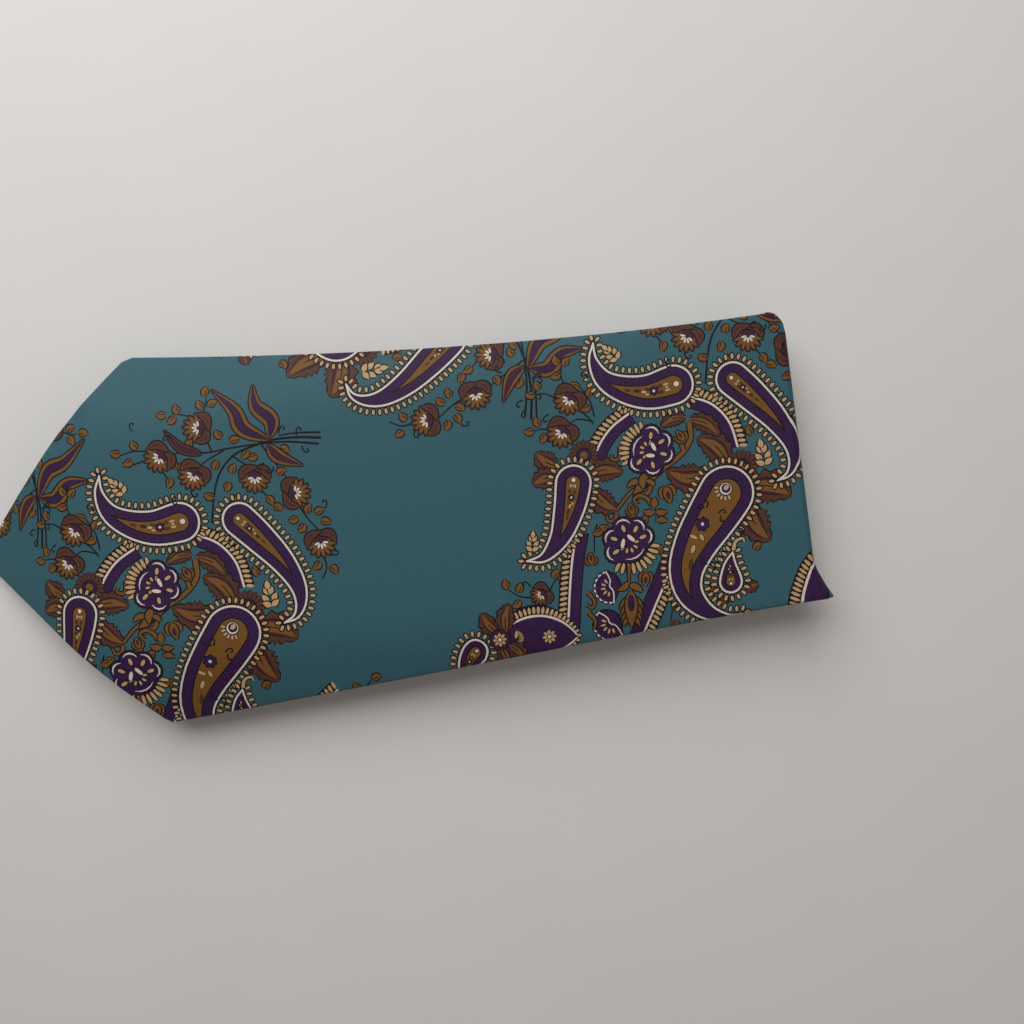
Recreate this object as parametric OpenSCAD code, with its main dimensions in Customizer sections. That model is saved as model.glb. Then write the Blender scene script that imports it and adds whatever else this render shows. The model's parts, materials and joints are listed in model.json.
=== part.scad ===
// Necktie folded into a flat stack, blade uppermost and face up.
// +X runs from the blade's point to the first fold, +Y across the blade, +Z up.
// The origin is at the bottom centre of the whole stack. Millimetres.

/* [Blade] */
// Half of the blade's greatest width, at its shoulders
blade_half = 44.5; // [38:0.5:50]
// Distance from the blade's point to its shoulders
blade_point = 44; // [35:1:48]
// Distance from the blade's point to the first fold
blade_len = 200; // [195:1:225]
// How quickly the blade narrows behind its shoulders
taper_power = 1.5; // [1:0.1:2]

/* [Folded layers] */
// Length of each folded layer behind the blade
layer_len = 167; // [160:1:174]
// Half of the width at each fold, from the blade to the tail
fold_half = [34.5, 27, 21.5, 17, 16, 17, 19.5]; // [15:0.5:36]
// Half of the tail's greatest width, at its shoulders
tail_half = 22; // [20:0.5:26]
// Distance from the tail's point to its shoulders
tail_point = 22; // [18:1:26]

/* [Thicknesses] */
// Thickness of one whole layer: two silk walls and the interlining
layer_t = 1.2; // [1.1:0.1:1.4]
// Thickness of the silk
silk_t = 0.2; // [0.15:0.01:0.25]
// Space between layers that lie face to face or back to face
gap_plain = 0.3; // [0.3:0.1:0.6]
// Space under the blade, where the keeper loop and the label are
gap_blade = 1.2; // [1.1:0.1:2]
// Space above the tail, where the care label is
gap_tail = 0.8; // [0.7:0.1:1.5]

/* [Drape] */
// Slope of the blade's edges where they hang past the layer below
edge_slope = 0.3; // [0:0.05:0.4]
// Length over which the blade bends down at the end of the stack
tip_bend = 10; // [4:1:16]

/* [Back of the tie] */
// Width of the silk hem round the blade's point, seen from the back
hem_w = 9; // [7:0.5:12]
// Distance from the blade's point to where the back seam closes
blade_vent = 78; // [70:1:90]
// Distance from the tail's point to where the back seam closes
tail_vent = 46; // [40:1:60]
// Gap between the two silk edges at the centre-back seam
seam_gap = 0.6; // [0.5:0.1:1]
// Diameter of the slip stitch thread
thread_d = 0.18; // [0.12:0.02:0.2]
// Length of the keeper loop, along the tie
keeper_len = 12; // [9:0.5:15]
// Length of the maker's label, along the tie
label_len = 26; // [20:1:32]
// Width of the maker's label, across the tie
label_w = 50; // [40:1:54]

/* [Hidden] */
LAYERS = 8;
FOLDS = 7;
ALL_LAYERS = [1:LAYERS];
ALL_FOLDS = [1:FOLDS];

TEAL = [0.20, 0.34, 0.37];
WOOL = [0.86, 0.83, 0.75];
LINING = [0.12, 0.20, 0.24];
THREAD = [0.15, 0.27, 0.30];
LABEL = [0.10, 0.10, 0.14];
SATIN = [0.90, 0.89, 0.86];

// Small spaces that keep separate pieces apart
end_clear = 0.15;      // between a layer's end and its fold
lining_clear = 0.05;   // round the interlining, inside the silk
tip_lift = 0.1;        // between the blade's own point and the surface below

// Depths inside a layer, from its back face: the lining, then the wool
lining_from = silk_t + 0.05;
lining_to = silk_t + 0.11;
wool_from = silk_t + 0.18;
wool_to = layer_t - silk_t - 0.06;

// Small sizes of the trim on the back
tipping_start = 8;      // from the blade's point to the lining's own point
tack_w = 1;             // a bar tack, along the tie
tack_len = 6;           // a bar tack, across the tie
tack_h = 0.25;
keeper_from_fold = 35;  // from the first fold to the keeper loop's middle
keeper_half = 26;
keeper_foot = 5;        // the part at each end that is sewn down
keeper_rise = 0.35;
label_t = 0.25;
label_from_point = 133; // from the blade's point to the label's middle
care_from_point = 70;   // from the tail's point to the care label's middle
care_len = 24;
care_w = 16;
loop_r = 3.5;
join_w = 12;            // a join's pressed allowance

// Heights. Layer 1 is the blade, on top. Layer 8 is the tail, at the bottom.
function gap_below(k) = k == 1 ? gap_blade : k == FOLDS ? gap_tail : gap_plain;
function layer_z(k) = k == LAYERS ? 0 : layer_z(k + 1) + layer_t + gap_below(k);
function fold_z(k) = layer_z(k) - gap_below(k) / 2;
function fold_r(k) = gap_below(k) / 2 + layer_t;
function face_up(k) = k % 2 == 1;
function fold_right(k) = k % 2 == 1;

// Places along the tie. The blade's point is blunt by blade_start.
blade_start = 1;
mid_x = (blade_start + blade_len + fold_r(1)) / 2;
x_right = blade_len - mid_x;
x_left = x_right - layer_len;
blade_rest = layer_z(1);
tail_shoulder_x = x_left + tail_point;

// Half width of the blade at the distance u from its point
function blade_w(u) = u < blade_point
    ? blade_half * u / blade_point
    : fold_half[0] + (blade_half - fold_half[0])
        * pow(max(0, blade_len - u) / (blade_len - blade_point), taper_power);

// Half width of layer 2, which carries the blade, at the distance u from the blade's point
function carrier_w(u) = fold_half[1] + (fold_half[0] - fold_half[1])
    * max(0, u - blade_len + layer_len) / layer_len;

// How far the blade falls below the stack: past its end, and past its sides
tip_run = blade_len - layer_len - 2;
tip_slope = (blade_rest - tip_lift) / (tip_run - tip_bend / 2);
function tip_fall(u) = let (d = max(0, tip_run - u))
    d < tip_bend ? tip_slope * d * d / (2 * tip_bend) : tip_slope * (d - tip_bend / 2);
function support_w(u) = u < blade_len - layer_len
    ? min(carrier_w(u), 0.75 * blade_w(u)) : carrier_w(u);
function side_fall(u, v) = edge_slope * min(1, u / blade_point)
    * max(0, abs(v) - support_w(u));
function blade_z(u, v) = blade_rest - tip_fall(u) - side_fall(u, v);

// Half opening between the silk edges on the back of the blade
function vent_half(u) = max(seam_gap / 2, min(blade_w(u) - hem_w, blade_vent - u));

// Stations along the blade, closer together at the point, where it bends most
point_steps = 20;
body_steps = 16;
blade_stations = concat(
    [for (i = [0:point_steps - 1]) blade_start + (blade_point - blade_start) * i / point_steps],
    [for (i = [0:body_steps])
        blade_point + (blade_len - end_clear - blade_point) * i / body_steps]
);

// Where a section creases between its middle and its edge: over the edge of layer 2
function crease(u) = min(support_w(u), 0.97 * blade_w(u));
function wing_crease(u, v0) = v0 < crease(u) ? crease(u) : (v0 + blade_w(u)) / 2;

// Points of the blade's section at u, each at the height h above its underside
function section_row(u, vs, h) = [for (v = vs) [u - mid_x, v, blade_z(u, v) + h]];

// One section of the wrapped silk: the outer face, then the inner face back again
function silk_section(u) = let (
    w = blade_w(u),
    g = min(vent_half(u), w - 2.5 * silk_t),
    s = silk_t,
    t = layer_t,
    wing = wing_crease(u, g),
    front = crease(u),
    outer = concat(section_row(u, [g, wing, w], 0), section_row(u, [w, front, -front, -w], t),
        section_row(u, [-w, -wing, -g], 0)),
    inner = concat(section_row(u, [g, wing, w - s], s),
        section_row(u, [w - s, front, -front, s - w], t - s),
        section_row(u, [s - w, -wing, -g], s))
) concat(outer, [for (i = [len(inner) - 1:-1:0]) inner[i]]);

// One section of a plain padded strip of half width w, between two heights
function strip_section(u, w, low, high) = let (m = min(crease(u), 0.97 * w)) concat(
    section_row(u, [w, m, -m, -w], high),
    section_row(u, [-w, -m, m, w], low)
);

// A solid through sections that have the same number of points, with ladder-like end caps
module loft(sections) {
    n = len(sections[0]);
    last = len(sections) - 1;
    sides = [for (j = [0:last - 1], i = [0:n - 1]) let (m = (i + 1) % n)
        [j * n + i, (j + 1) * n + i, (j + 1) * n + m, j * n + m]];
    start_cap = [for (i = [0:n / 2 - 2]) [i, i + 1, n - 2 - i, n - 1 - i]];
    end_cap = [for (f = start_cap) [for (i = [3:-1:0]) f[i] + last * n]];
    polyhedron([for (s = sections, p = s) p], concat(sides, start_cap, end_cap), convexity = 6);
}

// Half widths at a flat layer's ends. Fold k - 1 is above layer k, and fold k is below it.
function edge_at_left(k) = fold_half[fold_right(k) ? k - 2 : k - 1];
function edge_at_right(k) = fold_half[fold_right(k) ? k - 1 : k - 2];

// Outline of a flat layer, drawn in by inset, and run past its folded ends by past
function layer_plan(k, inset = 0, past = 0) = let (
    x0 = x_left + end_clear - past,
    x1 = x_right - end_clear + past,
    left = edge_at_left(k) - inset,
    right = edge_at_right(k) - inset
) [[x0, -left], [x1, -right], [x1, right], [x0, left]];

// Outline of the tail, which ends in a point at the left, drawn in by inset
function tail_plan(inset = 0, past = 0) = let (
    x1 = x_right - end_clear + past,
    right = edge_at_right(LAYERS) - inset
) [[x_left + 1.4 * inset, 0], [tail_shoulder_x + 0.4 * inset, inset - tail_half],
   [x1, -right], [x1, right], [tail_shoulder_x + 0.4 * inset, tail_half - inset]];

function flat_plan(k, inset = 0, past = 0) =
    k == LAYERS ? tail_plan(inset, past) : layer_plan(k, inset, past);

// Lifts a drawing onto layer k, between two depths below the layer's own back face
module in_layer(k, from, to) {
    z = face_up(k) ? layer_z(k) + from : layer_z(k) + layer_t - to;
    translate([0, 0, z]) linear_extrude(to - from) children();
}

// The centre-back opening of a flat layer: a seam, and the tail's open vent
module back_opening(k) {
    translate([x_left - 1, -seam_gap / 2]) square([layer_len + 2, seam_gap]);
    if (k == LAYERS) polygon(vent_plan);
}

vent_x = x_left + tail_vent;
vent_plan = [[x_left + 1.4 * hem_w, 0], [tail_shoulder_x, hem_w - tail_half],
    [vent_x, 0], [tail_shoulder_x, tail_half - hem_w]];

// A printed silk wall wrapped round one layer, and open along the middle of its back
module silk_shell(k) {
    color(TEAL)
    if (k == 1) loft([for (u = blade_stations) silk_section(u)]);
    else difference() {
        in_layer(k, 0, layer_t) polygon(flat_plan(k));
        in_layer(k, silk_t, layer_t - silk_t) polygon(flat_plan(k, silk_t, 1));
        in_layer(k, -1, silk_t + 0.1) back_opening(k);
    }
}

// The wool pad inside one layer
module interlining(k) {
    side = silk_t + lining_clear;
    color(WOOL)
    if (k == 1) loft([for (u = blade_stations) if (u > 2 * side)
        strip_section(u, blade_w(u) - side, wool_from, wool_to)]);
    else in_layer(k, wool_from, wool_to) polygon(flat_plan(k, side));
}

// One turn of the whole tie, from layer k down to layer k + 1
module silk_fold(k) {
    long = 2 * fold_half[k - 1];
    side = fold_right(k) ? 1 : -1;
    color(TEAL)
    translate([fold_right(k) ? x_right : x_left, 0, fold_z(k)])
    rotate([90, 0, 0])
    difference() {
        cylinder(h = long, r = fold_r(k), center = true, $fn = 48);
        cylinder(h = long + 1, r = gap_below(k) / 2, center = true, $fn = 32);
        translate([-side * 5, 0, 0]) cube([10, 10, long + 1], center = true);
    }
}

// The thread that closes the centre-back seam of one layer
module slip_stitch(k) {
    depth = silk_t / 2;
    start = k == 1 ? blade_vent + 2 - mid_x : k == LAYERS ? vent_x + 2 : x_left + 1;
    color(THREAD)
    translate([start, 0, face_up(k) ? layer_z(k) + depth : layer_z(k) + layer_t - depth])
    rotate([0, 90, 0])
    cylinder(h = x_right - 1 - start, d = thread_d, $fn = 16);
}

// The lining seen between the silk hems at the blade's point
module blade_tipping() {
    color(LINING)
    loft([for (u = blade_stations) if (u > tipping_start && u < blade_vent - 1)
        strip_section(u, blade_w(u) - 1, lining_from, lining_to)]);
}

module tail_tipping() {
    color(LINING)
    in_layer(LAYERS, lining_from, lining_to)
    intersection() {
        polygon(tail_plan(1));
        translate([x_left, -tail_half]) square([tail_vent - 1, 2 * tail_half]);
    }
}

// A short dense bar of stitches across a vent's end
module bar_tack(x, k) {
    color(THREAD)
    translate([x, 0, 0])
    in_layer(k, -tack_h, 0) square([tack_w, tack_len], center = true);
}

module blade_bar_tack() {
    bar_tack(blade_vent - mid_x, 1);
}

module tail_bar_tack() {
    bar_tack(vent_x, LAYERS);
}

// A band across the back of layer 2, fixed at both ends, that holds the tail
module keeper_loop() {
    color(TEAL)
    translate([x_right - keeper_from_fold, 0, layer_z(2) + layer_t])
    rotate([90, 0, 90])
    linear_extrude(keeper_len, center = true)
    difference() {
        translate([-keeper_half, 0]) square([2 * keeper_half, keeper_rise + silk_t]);
        translate([keeper_foot - keeper_half, -1])
            square([2 * (keeper_half - keeper_foot), keeper_rise + 1]);
    }
}

// A plain woven label across the back of the blade
module maker_label() {
    color(LABEL)
    translate([label_from_point - mid_x, 0, 0])
    in_layer(1, -label_t, 0) square([label_len, label_w], center = true);
}

// A plain folded satin tag on the back of the tail
module care_label() {
    color(SATIN)
    translate([x_left + care_from_point, 0, 0])
    in_layer(LAYERS, -label_t, 0) square([care_len, care_w], center = true);
}

// The spare loop of slip stitch thread at the tail
module reserve_thread_loop() {
    color(THREAD)
    translate([vent_x + tack_w + loop_r, 0, layer_z(LAYERS) + layer_t + thread_d / 2])
    rotate_extrude($fn = 48) translate([loop_r, 0]) circle(d = thread_d, $fn = 16);
}

// The pressed seam allowance where two lengths of silk are joined on the bias
module join_seam(k) {
    color(TEAL)
    in_layer(k, lining_from, lining_to)
    intersection() {
        polygon(flat_plan(k, 1));
        rotate(45) square([join_w, 4 * fold_half[k - 2]], center = true);
    }
}

module blade_join_seam() {
    join_seam(4);
}

module tail_join_seam() {
    join_seam(6);
}

for (k = ALL_LAYERS) silk_shell(k);
for (k = ALL_LAYERS) interlining(k);
for (k = ALL_FOLDS) silk_fold(k);
for (k = ALL_LAYERS) slip_stitch(k);
blade_tipping();
tail_tipping();
blade_bar_tack();
tail_bar_tack();
keeper_loop();
maker_label();
care_label();
reserve_thread_loop();
blade_join_seam();
tail_join_seam();
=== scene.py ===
"""A silk necktie folded into a flat stack, blade uppermost, on a pale table."""
import json
import math

import bpy
import numpy as np
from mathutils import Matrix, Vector
from mathutils.geometry import delaunay_2d_cdt


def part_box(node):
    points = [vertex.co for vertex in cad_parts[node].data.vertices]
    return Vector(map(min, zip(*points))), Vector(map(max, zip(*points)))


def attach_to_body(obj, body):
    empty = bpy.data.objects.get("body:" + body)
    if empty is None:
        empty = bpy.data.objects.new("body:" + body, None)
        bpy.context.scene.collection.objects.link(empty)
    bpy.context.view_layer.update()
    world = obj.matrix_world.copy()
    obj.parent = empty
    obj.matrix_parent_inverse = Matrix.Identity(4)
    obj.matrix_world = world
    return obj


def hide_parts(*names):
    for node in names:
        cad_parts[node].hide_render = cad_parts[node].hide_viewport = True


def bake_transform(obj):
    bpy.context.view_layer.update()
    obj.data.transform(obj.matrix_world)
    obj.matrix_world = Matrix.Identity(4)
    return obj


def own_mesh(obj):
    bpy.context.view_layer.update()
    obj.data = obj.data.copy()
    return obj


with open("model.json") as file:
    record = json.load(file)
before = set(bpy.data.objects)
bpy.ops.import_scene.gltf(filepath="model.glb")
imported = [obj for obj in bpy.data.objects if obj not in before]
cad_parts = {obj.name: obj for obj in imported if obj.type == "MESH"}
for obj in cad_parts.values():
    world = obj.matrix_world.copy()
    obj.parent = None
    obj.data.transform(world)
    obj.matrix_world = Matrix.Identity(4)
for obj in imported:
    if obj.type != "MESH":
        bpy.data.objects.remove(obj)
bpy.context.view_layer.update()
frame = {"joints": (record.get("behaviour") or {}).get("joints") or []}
MM = 0.001

# ---------------------------------------------------------------- sizes, from the frame
LAYERS = 8
FOLDS = LAYERS - 1
JOINTS = {j["name"]: j for j in frame["joints"]}


def box_mm(node):
    lo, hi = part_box(node)
    return lo / MM, hi / MM


def fold_place(k):
    x, _, z = JOINTS[f"fold_{k}"]["pos_m"]
    return x / MM, z / MM


BLADE_LO, BLADE_HI = box_mm("silk_shell_1")
X_RIGHT = fold_place(1)[0]
X_LEFT = fold_place(2)[0]
LAYER_LEN = X_RIGHT - X_LEFT
LAYER_T = box_mm("silk_shell_2")[1].z - box_mm("silk_shell_2")[0].z
EDGE_R = LAYER_T / 2                      # rounding of the silk over the interlining's edge
THIN_SHARE = 0.45                         # and its largest share of the width, near a point
POINT_BLUNT = 1                           # the CAD blade starts this far from its true point
TIP_X = BLADE_LO.x - POINT_BLUNT
BLADE_LEN = X_RIGHT - TIP_X
BLADE_HALF = BLADE_HI.y
FOLD_HALF = [box_mm(f"silk_fold_{k}")[1].y for k in range(1, FOLDS + 1)]
TAIL_HALF = box_mm(f"silk_shell_{LAYERS}")[1].y
LAYER_Z = [box_mm(f"silk_shell_{k}")[0].z for k in range(2, LAYERS + 1)]
LAYER_Z.insert(0, BLADE_HI.z - LAYER_T)
# The frame doesn't hold these dimensions of the CAD model, so they are given here again
BLADE_POINT = 44
TAPER_POWER = 1.5
TAIL_POINT = 22
SEAM_HALF = 0.3
HEM_W = 9
BLADE_VENT = 78
TAIL_VENT = 46


def gap_below(k):
    return LAYER_Z[k - 1] - LAYER_Z[k] - LAYER_T


def turn_r(k):
    return (gap_below(k) + LAYER_T) / 2


def lerp(a, b, t):
    return a + (b - a) * t


# Distances along the cloth, from the blade's point, at which each layer starts and ends
LAYER_START = [0.0]
LAYER_END = [BLADE_LEN]
for fold in range(1, LAYERS):
    LAYER_START.append(LAYER_END[-1] + math.pi * turn_r(fold))
    LAYER_END.append(LAYER_START[-1] + LAYER_LEN)
TIE_LEN = LAYER_END[-1]


def half_width(k, s):
    """Half of the tie's width in layer k, at the distance s along the cloth."""
    if k == 1:
        if s < BLADE_POINT:
            return BLADE_HALF * s / BLADE_POINT
        back = max(0.0, BLADE_LEN - s) / (BLADE_LEN - BLADE_POINT)
        return FOLD_HALF[0] + (BLADE_HALF - FOLD_HALF[0]) * back ** TAPER_POWER
    t = (s - LAYER_START[k - 1]) / LAYER_LEN
    if k < LAYERS:
        return lerp(FOLD_HALF[k - 2], FOLD_HALF[k - 1], t)
    from_point = TIE_LEN - s
    if from_point < TAIL_POINT:
        return TAIL_HALF * from_point / TAIL_POINT
    return lerp(FOLD_HALF[-1], TAIL_HALF, (s - LAYER_START[-1]) / (LAYER_LEN - TAIL_POINT))


def vent_half(k, s):
    """Half of the opening between the two silk edges on the back."""
    if k == 1:
        return max(SEAM_HALF, min(half_width(1, s) - HEM_W, BLADE_VENT - s))
    if k == LAYERS:
        from_point = TIE_LEN - s
        return max(SEAM_HALF, min(half_width(k, s) - HEM_W, TAIL_VENT - from_point))
    return SEAM_HALF


# ---------------------------------------------------------------- the drape of the blade
TIP_RUN = BLADE_LEN - LAYER_LEN - 2       # from the blade's point to where it starts to bend
TIP_BEND = 10
TIP_LIFT = 0.1
TIP_SLOPE = (LAYER_Z[0] - TIP_LIFT) / (TIP_RUN - TIP_BEND / 2)
EDGE_SLOPE = 0.3
EDGE_BLEND = 5                            # how softly the edge starts to hang
HELD_SHARE = 0.75                         # share of the width that stays level past the stack
FOLD_FADE = 30                            # the edges are level again this close to the fold
BOW = 2.0
BOW_FROM, BOW_RUN = 15, 190


def carrier_half(s):
    along = max(0.0, s - (BLADE_LEN - LAYER_LEN)) / LAYER_LEN
    return lerp(FOLD_HALF[1], FOLD_HALF[0], along)


def ramp(d, soft):
    """Rises from 0 with slope 1, and starts softly."""
    return (d + math.sqrt(d * d + soft * soft)) / 2


def blade_fall(s, y):
    """How far the blade lies below the top of the stack."""
    d = TIP_RUN - s
    tip = 0.0
    if d > 0:
        tip = TIP_SLOPE * (d * d / (2 * TIP_BEND) if d < TIP_BEND else d - TIP_BEND / 2)
    support = carrier_half(s)
    if s < BLADE_LEN - LAYER_LEN:
        support = min(support, HELD_SHARE * half_width(1, s))
    fade = min(1.0, s / BLADE_POINT) * min(1.0, (BLADE_LEN - s) / FOLD_FADE)
    side = EDGE_SLOPE * fade * ramp(abs(y) - support, EDGE_BLEND)
    return min(tip + side, LAYER_Z[0] - TIP_LIFT)


def centre_bow(s):
    """The blade's middle line bows a little to one side."""
    return -BOW * math.sin(math.pi * min(1.0, max(0.0, (s - BOW_FROM) / BOW_RUN)))


# ---------------------------------------------------------------- from flat cloth to its place
def edge_radius(w):
    return min(EDGE_R, THIN_SHARE * w)


def wrap(w, c):
    """Where the cloth at c across lies in a layer of half width w: across, and above the back."""
    r = edge_radius(w)
    a = abs(c)
    flat = w - r
    if a <= flat:
        y, d = a, 2 * r
    elif a <= flat + math.pi * r:
        turn = (a - flat) / r
        y, d = flat + r * math.sin(turn), r + r * math.cos(turn)
    else:
        y, d = 2 * flat + math.pi * r - a, 0.0
    return math.copysign(y, c), d + (LAYER_T - 2 * r) / 2


WIDEST_VENT = 0.8                         # the vent's largest share of the width


def cloth_half(k, s):
    """How far the cloth reaches from the middle of the front, round to its edge on the back."""
    w = half_width(k, s)
    r = edge_radius(w)
    return 2 * (w - r) + math.pi * r - min(vent_half(k, s), WIDEST_VENT * w)


def layer_point(k, s, y, d):
    """The point of layer k at s along and y across, at the height d above its back face."""
    along = s - LAYER_START[k - 1]
    face_up = k % 2 == 1
    if k == 1:
        z = LAYER_Z[0] - blade_fall(s, y) + d
        return TIP_X + s, y + centre_bow(s), z
    x = X_LEFT + along if face_up else X_RIGHT - along
    return x, y, LAYER_Z[k - 1] + (d if face_up else LAYER_T - d)


def turn_point(k, s, y, d):
    """The point of the turn below layer k."""
    x, z = fold_place(k)
    angle = (s - LAYER_END[k - 1]) / turn_r(k)
    backs_in = k % 2 == 1
    r = gap_below(k) / 2 + (d if backs_in else LAYER_T - d)
    side = 1 if backs_in else -1
    return x + side * r * math.sin(angle), y, z + r * math.cos(angle)


# ---------------------------------------------------------------- drawing the print
# The print is a list of (ink, outline) in millimetres on flat cloth. Later ones lie on top.
GROUND, LINE, PURPLE, WHITE, CREAM, GOLD, BROWN, PLUM = range(8)


def spline(points, per=8):
    """A smooth curve through given points."""
    p = [Vector(q) for q in points]
    p = [2 * p[0] - p[1]] + p + [2 * p[-1] - p[-2]]
    out = []
    for i in range(1, len(p) - 2):
        a, b, c, d = p[i - 1:i + 3]
        for j in range(per):
            t = j / per
            out.append(0.5 * (2 * b + (c - a) * t + (2 * a - 5 * b + 4 * c - d) * t * t
                              + (3 * b - a - 3 * c + d) * t ** 3))
    return out + [p[-2]]


def even(path, n):
    """n + 1 points spaced evenly along a path."""
    lengths = [0.0]
    for a, b in zip(path, path[1:]):
        lengths.append(lengths[-1] + (b - a).length)
    out, j = [], 0
    for i in range(n + 1):
        want = lengths[-1] * i / n
        while j < len(path) - 2 and lengths[j + 1] < want:
            j += 1
        stretch = max(1e-9, lengths[j + 1] - lengths[j])
        out.append(path[j].lerp(path[j + 1], min(1.0, (want - lengths[j]) / stretch)))
    return out


def path_len(path):
    return sum((b - a).length for a, b in zip(path, path[1:]))


def normals(path):
    out = []
    for i, p in enumerate(path):
        d = path[min(i + 1, len(path) - 1)] - path[max(i - 1, 0)]
        out.append(Vector((-d.y, d.x)).normalized())
    return out


THINNEST = 0.02                           # where a shape runs to nothing, it still has this half width


def strip(path, halves):
    """The outline of a stroke whose half width follows its path."""
    ns = normals(path)
    left = [p + n * h for p, n, h in zip(path, ns, halves)]
    right = [p - n * h for p, n, h in zip(path, ns, halves)]
    return left + right[::-1]


def stroke(points, width=0.36, taper=0.5, per=6):
    """A drawn line that thins towards its end."""
    path = spline(points, per)
    n = len(path) - 1
    return [(LINE, strip(path, [width / 2 * (1 - taper * i / n) for i in range(n + 1)]))]


def ellipse(centre, along, half_long, half_wide, n=10):
    c, u = Vector(centre), Vector(along).normalized()
    v = Vector((-u.y, u.x))
    return [c + u * half_long * math.cos(math.tau * i / n) + v * half_wide * math.sin(math.tau * i / n)
            for i in range(n)]


def discs(centre, n, *rings):
    """Round spots with n sides on one centre. Each ring is an ink and a radius."""
    return [(ink, ellipse(centre, (1, 0), r, r, n)) for ink, r in rings]


def unit(angle):
    return Vector((math.cos(math.radians(angle)), math.sin(math.radians(angle))))


def outlined(ink, centre, along, half_long, half_wide, line=0.32, n=10):
    """A filled oval with a dark outline."""
    return [(LINE, ellipse(centre, along, half_long + line, half_wide + line, n)),
            (ink, ellipse(centre, along, half_long, half_wide, n))]


def beads(loop, gap=1.6, half_long=0.74, half_wide=0.38, ink=CREAM, n=8):
    """Beads standing side by side along a line, each pointing away from it."""
    count = max(2, round(path_len(loop) / gap))
    spots = even(loop, count)
    out = []
    for p, normal in zip(spots, normals(spots)):
        out += outlined(ink, p, normal, half_long, half_wide, 0.35, n)
    return out


# -- paisleys
def paisley_half(dist, length, r, power, inset):
    """Half width of a paisley at a distance from its head, drawn in by inset."""
    if dist < r:
        return math.sqrt(max(0.0, (r - inset) ** 2 - (r - dist) ** 2))
    if dist > length:
        return math.sqrt(max(0.0, inset * inset - (dist - length) ** 2)) if inset < 0 else 0.0
    return r * (1 - ((dist - r) / (length - r)) ** power) - inset


PAST_ENDS = 3.0                           # the path is carried on straight this far at its ends
END_CROWDING = 0.157                      # how much closer the points stand near the ends


def paisley_outline(path, r, power, inset=0.0, n=44):
    """The outline of a paisley along a path from its head to its tail, drawn in by inset."""
    length = path_len(path)
    start = min(inset, r)
    if inset < 0:
        stop = length - inset * 0.9
    else:
        stop = r + (length - r) * max(0.05, 1 - inset / r) ** (1 / power)
    head = (path[0] - path[1]).normalized()
    tail = (path[-1] - path[-2]).normalized()
    long_path = [path[0] + head * PAST_ENDS] + path + [path[-1] + tail * PAST_ENDS]
    lengths = [-PAST_ENDS]
    for a, b in zip(long_path, long_path[1:]):
        lengths.append(lengths[-1] + (b - a).length)
    pts, halves, j = [], [], 0
    for i in range(n + 1):
        t = i / n
        dist = start + (stop - start) * (t - END_CROWDING * math.sin(math.tau * t))
        while j < len(long_path) - 2 and lengths[j + 1] < dist:
            j += 1
        f = (dist - lengths[j]) / max(1e-9, lengths[j + 1] - lengths[j])
        pts.append(long_path[j].lerp(long_path[j + 1], min(1.0, max(0.0, f))))
        halves.append(max(THINNEST, paisley_half(dist, length, r, power, inset)))
    return strip(pts, halves)


def paisley_heart(path, size, at):
    """What grows inside a paisley: a cream drop, petals, a small purple flower and a sprig."""
    inner = even(path, 40)

    def spot_at(dist, off=0.0):
        i = min(len(inner) - 2, max(1, at + round(dist * size / max(1e-6, (inner[1] - inner[0]).length))))
        d = (inner[i + 1] - inner[i - 1]).normalized()
        return inner[i] + Vector((-d.y, d.x)) * off * size, d

    place, axis = spot_at(0.1)
    out = outlined(WHITE, place, axis, size * 0.32, size * 0.3, 0.16)
    for dist, off, ink, half_long, half_wide in (
            (0.95, 0.34, CREAM, 0.34, 0.15), (0.95, -0.34, CREAM, 0.34, 0.15), (1.0, 0.0, CREAM, 0.22, 0.13),
            (1.75, 0.36, BROWN, 0.26, 0.16), (1.75, -0.36, BROWN, 0.26, 0.16),
            (3.3, 0.3, CREAM, 0.26, 0.15), (3.3, -0.28, BROWN, 0.26, 0.15), (3.9, 0.0, CREAM, 0.34, 0.17),
            (4.7, -0.06, PLUM, 0.4, 0.13), (5.6, 0.04, BROWN, 0.34, 0.1)):
        place, axis = spot_at(dist, off)
        out += outlined(ink, place, axis, size * half_long, size * half_wide, 0.12, 8)
    place, axis = spot_at(2.5)
    out += [(LINE, scallops(place, size * 0.56, 6, 0.18)), (PURPLE, scallops(place, size * 0.46, 6, 0.2))]
    return out + [(WHITE, ellipse(place, axis, size * 0.16, size * 0.16, 8))]


def paisley(points, r, power=1.5, band=2.2, heart=True):
    """Bead fringe, white line, purple band and an inner field, with its own small flower."""
    path = spline(points, 8)
    ring = paisley_outline(path, r, power, -1.45, 60)
    field = band + 0.5
    has_field = r - field > 0.6
    rings = [(LINE, -0.52), (WHITE, -0.18), (LINE, 0.34), (PURPLE, 0.56)]
    if has_field:
        rings += [(LINE, field - 0.32), (GOLD, field)]
    out = beads(ring + ring[:1])
    out += [(ink, paisley_outline(path, r, power, inset)) for ink, inset in rings]
    if has_field and heart:
        out += paisley_heart(path, r - field, round(40 * r * 0.85 / path_len(path)))
    return out


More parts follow.
